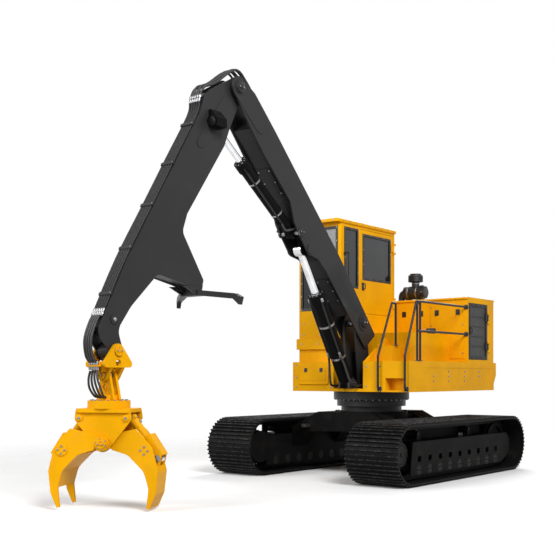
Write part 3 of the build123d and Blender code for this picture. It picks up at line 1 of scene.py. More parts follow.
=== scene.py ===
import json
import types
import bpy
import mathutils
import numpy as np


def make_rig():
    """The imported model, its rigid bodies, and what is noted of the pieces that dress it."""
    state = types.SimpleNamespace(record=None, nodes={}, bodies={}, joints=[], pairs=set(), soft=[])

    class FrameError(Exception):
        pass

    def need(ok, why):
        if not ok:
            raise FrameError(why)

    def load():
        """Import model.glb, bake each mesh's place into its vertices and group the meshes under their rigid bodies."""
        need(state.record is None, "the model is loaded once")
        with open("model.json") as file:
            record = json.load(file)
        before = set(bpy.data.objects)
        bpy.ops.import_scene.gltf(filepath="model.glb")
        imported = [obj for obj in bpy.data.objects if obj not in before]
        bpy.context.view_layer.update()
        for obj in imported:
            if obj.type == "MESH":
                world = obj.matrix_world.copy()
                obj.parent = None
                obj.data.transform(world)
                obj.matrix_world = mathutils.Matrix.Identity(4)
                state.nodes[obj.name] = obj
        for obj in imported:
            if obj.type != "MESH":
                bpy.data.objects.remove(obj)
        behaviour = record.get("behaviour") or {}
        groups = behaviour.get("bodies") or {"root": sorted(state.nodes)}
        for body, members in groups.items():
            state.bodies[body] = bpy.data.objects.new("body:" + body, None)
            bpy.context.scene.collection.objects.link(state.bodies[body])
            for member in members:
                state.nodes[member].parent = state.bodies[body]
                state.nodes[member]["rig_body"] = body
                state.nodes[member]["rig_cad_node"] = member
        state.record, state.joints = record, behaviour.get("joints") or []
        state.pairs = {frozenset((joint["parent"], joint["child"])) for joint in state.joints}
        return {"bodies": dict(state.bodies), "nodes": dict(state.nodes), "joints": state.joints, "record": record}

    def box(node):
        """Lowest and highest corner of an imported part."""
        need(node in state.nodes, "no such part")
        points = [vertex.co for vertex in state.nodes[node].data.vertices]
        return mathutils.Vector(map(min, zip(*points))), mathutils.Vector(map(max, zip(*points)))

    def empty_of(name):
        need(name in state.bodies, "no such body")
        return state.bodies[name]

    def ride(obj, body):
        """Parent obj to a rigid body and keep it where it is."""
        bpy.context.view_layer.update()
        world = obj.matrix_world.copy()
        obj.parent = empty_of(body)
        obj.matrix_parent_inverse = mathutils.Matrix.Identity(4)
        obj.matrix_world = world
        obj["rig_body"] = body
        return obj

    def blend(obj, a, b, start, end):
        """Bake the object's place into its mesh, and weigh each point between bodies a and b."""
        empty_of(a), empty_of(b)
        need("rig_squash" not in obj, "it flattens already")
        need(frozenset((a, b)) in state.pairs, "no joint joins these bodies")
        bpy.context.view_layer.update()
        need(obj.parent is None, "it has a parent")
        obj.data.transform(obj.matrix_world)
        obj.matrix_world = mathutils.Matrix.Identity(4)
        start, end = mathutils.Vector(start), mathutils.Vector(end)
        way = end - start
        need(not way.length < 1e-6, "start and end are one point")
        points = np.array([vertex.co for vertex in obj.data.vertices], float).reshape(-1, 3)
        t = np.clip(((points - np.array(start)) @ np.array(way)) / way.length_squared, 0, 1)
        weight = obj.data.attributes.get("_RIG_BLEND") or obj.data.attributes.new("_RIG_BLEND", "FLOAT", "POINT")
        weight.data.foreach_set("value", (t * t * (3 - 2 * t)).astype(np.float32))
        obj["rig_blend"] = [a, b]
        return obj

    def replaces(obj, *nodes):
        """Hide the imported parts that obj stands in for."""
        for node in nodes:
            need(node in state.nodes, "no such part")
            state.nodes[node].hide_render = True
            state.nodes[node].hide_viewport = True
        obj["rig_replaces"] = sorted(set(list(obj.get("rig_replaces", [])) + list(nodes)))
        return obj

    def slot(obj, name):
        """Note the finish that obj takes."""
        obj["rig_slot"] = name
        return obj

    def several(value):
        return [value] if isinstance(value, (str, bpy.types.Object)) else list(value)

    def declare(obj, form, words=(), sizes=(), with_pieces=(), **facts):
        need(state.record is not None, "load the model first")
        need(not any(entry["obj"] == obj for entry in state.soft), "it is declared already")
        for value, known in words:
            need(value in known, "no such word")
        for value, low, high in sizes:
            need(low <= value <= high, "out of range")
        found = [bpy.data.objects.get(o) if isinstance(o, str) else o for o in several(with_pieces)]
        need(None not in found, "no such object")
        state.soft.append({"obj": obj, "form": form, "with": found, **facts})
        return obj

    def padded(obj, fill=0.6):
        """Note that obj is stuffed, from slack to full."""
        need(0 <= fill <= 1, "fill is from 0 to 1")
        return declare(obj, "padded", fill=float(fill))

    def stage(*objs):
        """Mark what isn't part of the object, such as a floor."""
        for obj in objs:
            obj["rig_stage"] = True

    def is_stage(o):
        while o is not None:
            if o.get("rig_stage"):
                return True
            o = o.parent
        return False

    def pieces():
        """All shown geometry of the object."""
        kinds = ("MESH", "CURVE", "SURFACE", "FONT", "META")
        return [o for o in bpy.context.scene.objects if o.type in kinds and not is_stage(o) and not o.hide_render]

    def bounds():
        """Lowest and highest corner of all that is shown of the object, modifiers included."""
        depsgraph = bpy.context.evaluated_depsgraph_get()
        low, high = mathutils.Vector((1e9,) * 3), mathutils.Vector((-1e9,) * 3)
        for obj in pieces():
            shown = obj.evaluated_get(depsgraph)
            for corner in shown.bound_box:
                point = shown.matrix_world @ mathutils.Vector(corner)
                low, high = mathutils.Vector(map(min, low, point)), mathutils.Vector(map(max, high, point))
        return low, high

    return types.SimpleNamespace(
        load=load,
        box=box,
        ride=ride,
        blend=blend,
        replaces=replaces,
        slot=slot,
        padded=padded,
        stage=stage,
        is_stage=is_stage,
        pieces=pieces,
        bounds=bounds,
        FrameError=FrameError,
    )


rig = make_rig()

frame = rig.load()

import json
import math
import random

import bmesh
import bpy
from bpy.props import FloatProperty, FloatVectorProperty, IntProperty, PointerProperty
from mathutils import Matrix, Vector

bl_info = {
    "name": "Log loader looks",
    "version": (1, 0, 0),
    "blender": (4, 5, 0),
    "location": "View3D > Sidebar > Loader",
    "description": "Paint, glazing, plumbing, fasteners and a studio for a tracked log loader",
    "category": "Object",
}

CAD_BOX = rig.bounds()
NODES = frame["nodes"]
RECORD = frame["record"]
JOINTS = {joint["name"]: joint for joint in RECORD["behaviour"]["joints"]}
SLOT_OF = {row["node"]: row["material_slot"] for row in RECORD["subparts"]}
SIDES = (-1, 1)
FORWARD, UP, DOWN = (1, 0, 0), (0, 0, 1), (0, 0, -1)


def pivot(joint):
    return Vector(JOINTS[joint]["pos_m"])


def axis_of(joint):
    return Vector(JOINTS[joint]["axis"]).normalized()


def low(node):
    return Vector(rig.box(node)[0])


def high(node):
    return Vector(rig.box(node)[1])


# Settings

def colour(name, description, default):
    return FloatVectorProperty(name=name, description=description, subtype="COLOR", size=3, min=0, max=1,
                               default=default)


def length(name, description, default, least):
    return FloatProperty(name=name, description=description, unit="LENGTH", default=default, min=least)


class LoaderColours(bpy.types.PropertyGroup):
    """Colours of the machine's finishes."""
    yellow: colour("Yellow", "House, cab and grapple paint", (0.850, 0.400, 0.002))
    black: colour("Black", "Boom, stick and frame paint", (0.0230, 0.0230, 0.0240))
    iron: colour("Iron", "Track shoes and rollers", (0.0026, 0.0026, 0.0026))
    dust: colour("Dust", "Dry dust in the corners", (0.20, 0.155, 0.105))
    steel: colour("Steel", "Bare pins and worn edges", (0.33, 0.33, 0.34))
    glass: colour("Glass", "Tint of the cab windows", (0.006, 0.007, 0.008))


class LoaderSizes(bpy.types.PropertyGroup):
    """Sizes of the trim and plumbing."""
    seal_width: length("Seal width", "Rubber frame round a window", 0.045, 0.01)
    hose: length("Hose", "Radius of a pressure hose", 0.017, 0.004)
    pipe: length("Pipe", "Radius of a hard line", 0.014, 0.004)
    lines: IntProperty(name="Lines", description="Hard lines side by side on the stick", default=5, min=1)


class LoaderCamera(bpy.types.PropertyGroup):
    """Camera of the studio."""
    place: FloatVectorProperty(name="Place", description="Where the camera stands", subtype="TRANSLATION",
                               size=3, default=(13.618, 8.797, 1.636))
    heading: FloatProperty(name="Heading", description="Direction of view from +X", subtype="ANGLE",
                           default=math.radians(-141.35))
    lens: FloatProperty(name="Lens", description="Focal length in millimetres", default=60.48, min=10)
    rise: FloatProperty(name="Rise", description="Upward shift of the picture", default=0.1794)


def colours():
    return bpy.context.scene.loader_colours


def sizes():
    return bpy.context.scene.loader_sizes


# Shader maths

def maths(operation, swapped=False):
    """Method of a socket that adds one Math node."""
    def method(self, other=None):
        values = [self] if other is None else [other, self] if swapped else [self, other]
        return self.tree.node("ShaderNodeMath", {"operation": operation}, dict(enumerate(values)))
    return method


class Socket:
    """Output of a shader node; arithmetic on it adds Math nodes."""
    __add__, __radd__ = maths("ADD"), maths("ADD", True)
    __sub__, __rsub__ = maths("SUBTRACT"), maths("SUBTRACT", True)
    __mul__, __rmul__ = maths("MULTIPLY"), maths("MULTIPLY", True)
    __pow__, __rpow__ = maths("POWER"), maths("POWER", True)
    __abs__ = maths("ABSOLUTE")
    most = maths("MAXIMUM")
    sine = maths("SINE")

    def __init__(self, tree, socket):
        self.tree = tree
        self.socket = socket

    def step(self, start, end):
        """0 below start, 1 above end, smooth between."""
        return self.tree.node("ShaderNodeMapRange", {"interpolation_type": "SMOOTHSTEP"},
                              {"Value": self, "From Min": start, "From Max": end})


class Tree:
    """Node tree whose nodes are added by calls."""

    def __init__(self, tree):
        self.nodes = tree.nodes
        self.links = tree.links

    def node(self, kind, settings=None, inputs=None, output=0):
        node = self.nodes.new(kind)
        for name, value in (settings or {}).items():
            setattr(node, name, value)
        for name, value in (inputs or {}).items():
            self.feed(node.inputs[name], value)
        return Socket(self, node.outputs[output])

    def feed(self, target, value):
        if isinstance(value, Socket):
            self.links.new(value.socket, target)
        else:
            target.default_value = value


class Finish(Tree):
    """Material that starts from one Principled shader."""

    def __init__(self, name):
        self.material = bpy.data.materials.new(f"finish_{name}")
        self.material.use_nodes = True
        super().__init__(self.material.node_tree)
        self.shader = self.nodes["Principled BSDF"]

    def set(self, **values):
        """Feed the shader's sockets, named with _ for a space."""
        for name, value in values.items():
            if isinstance(value, (tuple, list)) and len(value) == 3:
                value = (*value, 1)
            self.feed(self.shader.inputs[name.replace("_", " ")], value)

    def local(self):
        return self.node("ShaderNodeTexCoord", output=3)

    def axes(self):
        split = self.node("ShaderNodeSeparateXYZ", {}, {0: self.local()})
        return [Socket(self, output) for output in split.socket.node.outputs]

    def noise(self, scale, detail=3.0, rough=0.55, stretch=None):
        where = self.local()
        if stretch:
            where = self.node("ShaderNodeVectorMath", {"operation": "MULTIPLY"}, {0: where, 1: stretch})
        return self.node("ShaderNodeTexNoise", {}, {"Vector": where, "Scale": scale, "Detail": detail,
                                                    "Roughness": rough})

    def mix(self, factor, first, second):
        """Colour between two colours."""
        inputs = {0: factor, 6: self.rgba(first), 7: self.rgba(second)}
        return self.node("ShaderNodeMix", {"data_type": "RGBA"}, inputs, output=2)

    @staticmethod
    def rgba(value):
        return value if isinstance(value, Socket) else (*value, 1)

    def bump(self, height, strength, distance):
        self.set(Normal=self.node("ShaderNodeBump", {}, {"Height": height, "Strength": strength,
                                                         "Distance": distance}))


def shade(tone, factor):
    return tuple(channel * factor for channel in tone)


# Finishes

def painted(name, tone, rough, shine, dust_amount, scuff):
    """Sprayed paint with cloudy fading, dust that settles low and thin scuffs."""
    finish = Finish(name)
    cloud = finish.noise(1.3, 4).step(0.35, 0.7)
    body = finish.mix(cloud, shade(tone, 0.90), shade(tone, 1.06))
    scratch = finish.noise(9.0, 6, 0.7, (1.0, 1.0, 6.0)).step(0.66, 0.74)
    fleck = finish.noise(60.0, 3, 0.6).step(0.68, 0.76)
    marks = (scratch * 0.6).most(fleck) * scuff
    body = finish.mix(marks, body, shade(colours().steel, 0.6))
    height = finish.axes()[2]
    settle = finish.noise(3.5, 6, 0.65).step(0.45, 0.8) * (1 - height.step(0.4, 4.5) * 0.75)
    body = finish.mix(settle * dust_amount, body, colours().dust)
    peel = finish.noise(260.0, 2)
    finish.set(Base_Color=body, Roughness=rough + cloud * 0.07 + settle * 0.25 * dust_amount + marks * 0.15,
               Specular_IOR_Level=shine, Coat_Weight=shine * 0.15, Coat_Roughness=0.12)
    finish.bump(peel * 0.25 + finish.noise(7.0, 2) - marks * 0.5, 0.06, 0.004)
    return finish.material


def yellow_paint():
    return painted("yellow_paint", colours().yellow, 0.34, 0.05, 0.08, 0.05)


def black_paint():
    return painted("black_paint", colours().black, 0.36, 0.16, 0.05, 0.10)


def frame_paint():
    """Flat black of the carbody and track frames: the black paint darkened to 0.16 of its colour, as painted shade."""
    # painted shade: the black paint at 0.16 of its colour, flatter and less shiny
    return painted("frame_paint", shade(colours().black, 0.16), 0.55, 0.05, 0.05, 0.08)


def dark_iron():
    """Cast iron of rollers and wheels, blackened and dusty."""
    finish = Finish("dark_iron")
    grit = finish.noise(45.0, 5, 0.65)
    dirt = finish.noise(4.0, 5, 0.6).step(0.45, 0.75)
    tone = finish.mix(grit.step(0.4, 0.7), colours().iron, shade(colours().iron, 1.9))
    finish.set(Base_Color=finish.mix(dirt * 0.06, tone, colours().dust), Roughness=0.46 + grit * 0.18,
               Metallic=0.2, Specular_IOR_Level=0.22)
    finish.bump(grit, 0.25, 0.003)
    return finish.material


def track_iron():
    """Shoes: dark iron, rubbed a little on the grouser tips."""
    finish = Finish("track_iron")
    base, top = low("track_left"), high("track_left")
    radius = (top.z - base.z) / 2
    straight = (top.x - base.x) / 2 - radius
    x, _, z = finish.axes()
    over = (abs(x) - straight).most(0.0)
    rise = z - radius
    reach = (over * over + rise * rise) ** 0.5
    tip = reach.step(radius - 0.010, radius - 0.001)
    rub = finish.noise(22.0, 4, 0.6).step(0.42, 0.66)
    grit = finish.noise(60.0, 4, 0.6)
    dirt = finish.noise(5.0, 5, 0.65).step(0.5, 0.78) * (1 - tip)
    tone = finish.mix(grit.step(0.35, 0.7), colours().iron, shade(colours().iron, 2.2))
    tone = finish.mix(dirt * 0.05, tone, colours().dust)
    tone = finish.mix(tip * rub * 0.12, tone, colours().steel)
    finish.set(Base_Color=tone, Roughness=0.50 + grit * 0.14 - tip * rub * 0.18,
               Metallic=0.1 + tip * rub * 0.3, Specular_IOR_Level=0.12)
    finish.bump(grit + rub * tip, 0.25, 0.003)
    return finish.material


def bare_steel():
    """Turned steel with brushed lines and a little rust."""
    finish = Finish("bare_steel")
    brush = finish.noise(30.0, 4, 0.6, (1.0, 14.0, 1.0))
    rust = finish.noise(26.0, 6, 0.7).step(0.62, 0.8)
    tone = finish.mix(brush.step(0.3, 0.7), shade(colours().steel, 0.55), colours().steel)
    finish.set(Base_Color=finish.mix(rust * 0.5, tone, (0.16, 0.06, 0.025)),
               Roughness=0.30 + brush * 0.14 + rust * 0.3, Metallic=0.95 - rust * 0.5)
    finish.bump(brush, 0.12, 0.001)
    return finish.material


def chrome():
    """Hard-chromed rod with a thin oil film and fine lengthways marks."""
    finish = Finish("chrome")
    film = finish.noise(6.0, 3).step(0.4, 0.7)
    mark = finish.noise(120.0, 3, 0.6, (1.0, 1.0, 0.05))
    finish.set(Base_Color=finish.mix(film * 0.5, (0.78, 0.79, 0.81), (0.52, 0.51, 0.48)),
               Roughness=0.08 + film * 0.10 + mark * 0.06, Metallic=1.0)
    finish.bump(mark, 0.04, 0.0005)
    return finish.material


def window_glass():
    """Tinted safety glass, with a painted reflection that makes it paler towards the top, a thin film and smears."""
    finish = Finish("glass")
    film = finish.noise(2.4, 5, 0.6).step(0.4, 0.8)
    smear = finish.noise(14.0, 3, 0.6, (1.0, 1.0, 0.3)).step(0.55, 0.8)
    # painted reflection: the base colour grows 2.5 times paler from the bottom to the top of the cab glass
    band = finish.axes()[2].step(low("cab_glass").z, high("cab_glass").z)
    tint_and_painted_reflection = finish.mix(band, colours().glass, shade(colours().glass, 2.5))
    finish.set(Base_Color=finish.mix(film * 0.25, tint_and_painted_reflection, (0.05, 0.055, 0.06)),
               Roughness=0.03 + film * 0.03 + smear * 0.04, Alpha=0.92 + film * 0.04, IOR=1.52)
    finish.bump(finish.noise(1.2, 2), 0.02, 0.01)
    return finish.material


def rubber():
    """Black rubber with a chalky bloom and a fine wrap."""
    finish = Finish("rubber")
    bloom = finish.noise(11.0, 5, 0.6).step(0.45, 0.8)
    finish.set(Base_Color=finish.mix(bloom * 0.5, (0.012, 0.012, 0.012), (0.045, 0.044, 0.042)),
               Roughness=0.52 + bloom * 0.2)
    finish.bump(finish.noise(240.0, 2), 0.2, 0.001)
    return finish.material


def black_plastic():
    """Grained moulded plastic."""
    finish = Finish("black_plastic")
    grain = finish.node("ShaderNodeTexVoronoi", {}, {"Vector": finish.local(), "Scale": 260.0})
    wear = finish.noise(8.0, 4).step(0.5, 0.8)
    finish.set(Base_Color=finish.mix(wear * 0.6, (0.016, 0.016, 0.017), (0.038, 0.038, 0.039)),
               Roughness=0.42 + wear * 0.15)
    finish.bump(grain, 0.15, 0.001)
    return finish.material


def seat_cloth():
    """Woven seat cloth."""
    finish = Finish("seat_cloth")
    x, y, z = finish.axes()
    threads = 900.0
    weave = ((x + z) * threads).sine() * (y * threads).sine()
    fade = finish.noise(5.0, 4).step(0.4, 0.75)
    finish.set(Base_Color=finish.mix(fade, (0.022, 0.023, 0.026), (0.045, 0.046, 0.05)),
               Roughness=0.85 + weave * 0.06)
    finish.bump(weave, 0.35, 0.0015)
    return finish.material


def screen():
    """Fine wire screen over the cooler."""
    finish = Finish("screen")
    x, _, z = finish.axes()
    wires = 420.0
    wire = (x * wires).sine().most((z * wires).sine()).step(0.2, 0.8)
    dust = finish.noise(5.0, 5).step(0.5, 0.8)
    tone = finish.mix(wire, (0.003, 0.003, 0.003), (0.035, 0.035, 0.035))
    finish.set(Base_Color=finish.mix(dust * 0.12, tone, colours().dust), Roughness=0.5 + wire * 0.1)
    finish.bump(wire, 0.5, 0.003)
    return finish.material


def studio_floor():
    """Pale floor that keeps the shadow and fades out away from the machine."""
    finish = Finish("floor")
    cloud = finish.noise(0.8, 3).step(0.3, 0.7)
    x, y, _ = finish.axes()
    away = ((x - 1.5) * (x - 1.5) + y * y) ** 0.5
    pale = finish.mix(cloud, (0.90, 0.90, 0.90), (0.93, 0.93, 0.93))
    bounce = finish.node("ShaderNodeLightPath", output=2)
    finish.set(Base_Color=finish.mix(bounce, pale, (0.40, 0.40, 0.40)), Roughness=0.7 + cloud * 0.05,
               Alpha=1 - away.step(5.0, 11.0))
    return finish.material


FINISHES = {
    "yellow_paint": yellow_paint,
    "black_paint": black_paint,
    "frame_paint": frame_paint,
    "dark_iron": dark_iron,
    "track_iron": track_iron,
    "bare_steel": bare_steel,
    "chrome": chrome,
    "glass": window_glass,
    "rubber": rubber,
    "black_plastic": black_plastic,
    "seat_cloth": seat_cloth,
    "screen": screen,
    "floor": studio_floor,
}
# Solids whose finish is not that of their slot
# The carbody, track frames and barrels take the black paint darkened as painted shade.
NODE_FINISH = {"track_left": "track_iron", "track_right": "track_iron", "carbody": "frame_paint",
               "track_frame_left": "frame_paint", "track_frame_right": "frame_paint",
               "lift_barrel": "frame_paint", "stick_barrel": "frame_paint"}
# Slots of the finishes that are not slots themselves
FINISH_SLOT = {"rubber": "black_plastic", "track_iron": "dark_iron", "screen": "black_paint",
               "frame_paint": "black_paint"}


def finish_of(name):
    return bpy.data.materials.get(f"finish_{name}") or FINISHES[name]()


# Mesh building

SHARP_PIECE, SHARP_SOLID = math.radians(35), math.radians(30)


def meshes(count):
    return [bmesh.new() for _ in range(count)]


def add_mesh(name, mesh, finish, body, smooth=True):
    """Object from a bmesh, with its finish, riding on a body."""
    data = bpy.data.meshes.new(name)
    bmesh.ops.recalc_face_normals(mesh, faces=mesh.faces)
    mesh.to_mesh(data)
    mesh.free()
    data.materials.append(finish_of(finish))
    if smooth:
        data.shade_smooth()
        data.set_sharp_from_angle(angle=SHARP_PIECE)
    piece = bpy.data.objects.new(name, data)
    bpy.context.scene.collection.objects.link(piece)
    if body:
        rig.ride(piece, body)
    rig.slot(piece, FINISH_SLOT.get(finish, finish))
    return piece


def shift(x, y, z):
    return Matrix.Translation((x, y, z))


def turned(place, degrees, axis):
    """Matrix at a place, turned about an axis."""
    return Matrix.Translation(place) @ Matrix.Rotation(math.radians(degrees), 4, axis)


def facing(place, normal):
    """Matrix at a place whose Z runs along a normal."""
    return Matrix.Translation(place) @ Vector(normal).to_track_quat("Z", "Y").to_matrix().to_4x4()


def around(place, count):
    """Copies of a matrix, turned evenly about its Z."""
    return [place @ Matrix.Rotation(2 * math.pi * index / count, 4, "Z") for index in range(count)]


def spread(start, end, count):
    """Evenly spaced values from start to end."""
    return [start + (end - start) * index / (count - 1) for index in range(count)]


def circle(count, start=0.0):
    """Cosine and sine of even steps round a circle."""
    angles = [start + 2 * math.pi * index / count for index in range(count)]
    return [(math.cos(angle), math.sin(angle)) for angle in angles]


def ring(centre, normal, radius, count, start=0.0):
    """Points evenly round a circle that is square to a normal."""
    normal = Vector(normal).normalized()
    first = normal.orthogonal().normalized()
    second = normal.cross(first)
    return [Vector(centre) + (first * x + second * y) * radius for x, y in circle(count, start)]


def skin(mesh, loops):
    """Closed skin through loops of points, with a flat face at both ends."""
    rows = [[mesh.verts.new(point) for point in loop] for loop in loops]
    for first, second in zip(rows, rows[1:]):
        for index in range(len(first)):
            mesh.faces.new((first[index - 1], first[index], second[index], second[index - 1]))
    mesh.faces.new(rows[0][::-1])
    mesh.faces.new(rows[-1])


def stack(mesh, place, rings, sides):
    """Closed turned form through (radius, height) rings."""
    skin(mesh, [[place @ Vector((radius * x, radius * y, height)) for x, y in circle(sides)]
                for radius, height in rings])


def pipe(mesh, path, radius, sides=10, place=Matrix()):
    """Closed round tube along a path, without twist."""
    path = [place @ Vector(point) for point in path]
    ways = [(after - before).normalized() for before, after in zip(path[:1] + path, path[1:] + path[-1:])]
    across = ways[0].orthogonal().normalized()
    loops = []
    for point, way in zip(path, ways):
        across = (across - way * across.dot(way)).normalized()
        other = way.cross(across)
        loops.append([point + (across * x + other * y) * radius for x, y in circle(sides)])
    skin(mesh, loops)


def prism(mesh, outline, depth):
    """Closed prism from an outline of points that is moved by depth."""
    skin(mesh, [outline, [point + depth for point in outline]])


def slab(mesh, lowest, highest, ease=0.004, place=None):
    """Box with eased edges between two corners."""
    lowest, highest = Vector(lowest), Vector(highest)
    size = highest - lowest
    part = bmesh.new()
    bmesh.ops.create_cube(part, size=1)
    bmesh.ops.scale(part, vec=size, verts=part.verts)
    bmesh.ops.translate(part, vec=(lowest + highest) / 2, verts=part.verts)
    bmesh.ops.bevel(part, geom=part.edges[:], offset=min(ease, min(size) * 0.3), segments=2, affect="EDGES")
    join(mesh, part, place)


def join(mesh, part, place=None):
    """Add one bmesh to another."""
    if place is not None:
        bmesh.ops.transform(part, matrix=place, verts=part.verts)
    spare = bpy.data.meshes.new("spare")
    part.to_mesh(spare)
    part.free()
    mesh.from_mesh(spare)
    bpy.data.meshes.remove(spare)


def hexagon(mesh, centre, normal, radius, height):
    """Bolt head: a washer and a six-sided head with its top edge eased."""
    place = facing(centre, normal)
    washer = height * 0.22
    stack(mesh, place, [(radius * 1.25, 0), (radius * 1.25, washer)], 12)
    stack(mesh, place, [(radius, washer), (radius, height * 0.85), (radius * 0.86, height)], 6)


def bolt_row(mesh, centres, normal, radius, height):
    for centre in centres:
        hexagon(mesh, centre, normal, radius, height)


def bolt_ring(mesh, centre, normal, radius, count, size, start=0.0):
    """Bolt heads evenly round a circle."""
    bolt_row(mesh, ring(centre, normal, radius, count, start), normal, size, size * 0.9)


def bead(mesh, centre, normal, radius, size):
    """Weld bead round a boss."""
    dice = random.Random(int(radius * 1e4))
    bumps = [Vector(centre) + arm * (radius + dice.uniform(-0.1, 0.1) * size)
             for arm in ring((0, 0, 0), normal, 1, 48)]
    pipe(mesh, bumps + bumps[:1], size, 6)


def fitting(mesh, place, way, radius):
    """Hose end: crimped sleeve and hexagon nut."""
    end = facing(place, way)
    sleeve, nut = radius * 1.35, radius * 1.6
    stack(mesh, end, [(radius * 1.05, -0.01), (sleeve, 0), (sleeve, 0.05), (radius * 1.1, 0.058)], 12)
    stack(mesh, end, [(nut, 0.056), (nut, 0.09), (radius * 1.3, 0.096)], 6)


def pin_end(cover, bolts, centre, normal, radius):
    """Round cover with two bolts and a grease nipple on a pin's cap."""
    end = facing(centre, normal)
    stack(cover, end, [(radius * 1.03, -0.003), (radius * 1.03, 0.006), (radius * 0.95, 0.010)], 32)
    slab(cover, (-radius * 0.75, -radius * 0.26, 0.008), (radius * 0.75, radius * 0.26, 0.018), 0.003, end)
    for way in SIDES:
        hexagon(bolts, end @ Vector((way * radius * 0.5, 0, 0.018)), normal, radius * 0.15, radius * 0.14)
    stack(bolts, end @ shift(0, radius * 0.55, 0.009), [(0.006, 0), (0.006, 0.006), (0.003, 0.012)], 8)


def smooth_path(points, steps=8):
    """Points on a smooth curve through the given points."""
    points = [Vector(point) for point in points]
    path = []
    for index in range(len(points) - 1):
        before = points[max(index - 1, 0)]
        start, end = points[index], points[index + 1]
        after = points[min(index + 2, len(points) - 1)]
        for step in range(steps):
            t = step / steps
            path.append(0.5 * (2 * start + (end - before) * t
                               + (2 * before - 5 * start + 4 * end - after) * t ** 2
                               + (3 * start - before - 3 * end + after) * t ** 3))
    path.append(points[-1])
    return path


def belt(circles, sides=32):
    """Outline of a belt round circles, each given by two coordinates and a radius."""
    spots = sorted({(a + radius * x, b + radius * y) for a, b, radius in circles for x, y in circle(sides)})
    outline = []
    for row in (spots, spots[::-1]):
        chain = []
        for spot in row:
            while len(chain) > 1 and ((chain[-1][0] - chain[-2][0]) * (spot[1] - chain[-2][1])
                                      <= (chain[-1][1] - chain[-2][1]) * (spot[0] - chain[-2][0])):
                chain.pop()
            chain.append(spot)
        outline += chain[:-1]
    return outline


def islands(node):
    """Boxes of a node's separate solids."""
    mesh = bmesh.new()
    mesh.from_mesh(NODES[node].data)
    bmesh.ops.remove_doubles(mesh, verts=mesh.verts, dist=1e-5)
    boxes, seen = [], set()
    for vert in mesh.verts:
        if vert in seen:
            continue
        group, todo = [], [vert]
        seen.add(vert)
        while todo:
            here = todo.pop()
            group.append(here.co.copy())
            for edge in here.link_edges:
                other = edge.other_vert(here)
                if other not in seen:
                    seen.add(other)
                    todo.append(other)
        boxes.append((Vector(map(min, zip(*group))), Vector(map(max, zip(*group)))))
    mesh.free()
    return boxes


class LoaderStep:
    """What the piece operators share."""
    bl_options = {"REGISTER", "UNDO"}


class LOADER_OT_finish_solids(LoaderStep, bpy.types.Operator):
    """Give each solid its finish."""
    bl_idname = "loader.finish_solids"
    bl_label = "Finish solids"

    def execute(self, context):
        for name, piece in NODES.items():
            finish = NODE_FINISH.get(name, SLOT_OF[name])
            piece.data.materials.clear()
            piece.data.materials.append(finish_of(finish))
            piece.data.set_sharp_from_angle(angle=SHARP_SOLID)
        return {"FINISHED"}


# Pieces

FOOT = pivot("boom_lift")
TIP = pivot("stick_swing")
END = pivot("hanger_swing")
SWIVEL = pivot("rotator_swing")
TURN = pivot("grapple_turn")
JAW = pivot("jaw_left_swing")
CAB_LOW, CAB_HIGH = low("cab_shell"), high("cab_shell")
CAB_MIDDLE = (CAB_LOW + CAB_HIGH) / 2
DECK_LOW, DECK_HIGH = low("deck"), high("deck")
DECK_TOP = low("tank").z
BOOM_HALF, STICK_HALF = 0.190, 0.125
TRACK_Y = 1.385


class Line:
    """Line between two pivots in the boom's plane; a call gives a point beside it."""

    def __init__(self, start, end):
        self.start = start
        self.way = (end - start).normalized()
        self.rise = Vector((-self.way.z, 0, self.way.x))

    def __call__(self, distance, height, side=0.0):
        return self.start + self.way * distance + self.rise * height + Vector((0, side, 0))

    def tilt(self, distance, height):
        """Matrix at a point whose X runs along the line, Y to the left and Z square to both."""
        turn = Matrix((self.way, Vector((0, 1, 0)), self.rise)).transposed().to_4x4()
        return Matrix.Translation(self(distance, height)) @ turn


on_boom = Line(FOOT, TIP)
on_stick = Line(TIP, END)


def line_rows():
    """Sideways places of the hard lines."""
    count, gap = sizes().lines, 0.042
    return [(index - (count - 1) / 2) * gap for index in range(count)]


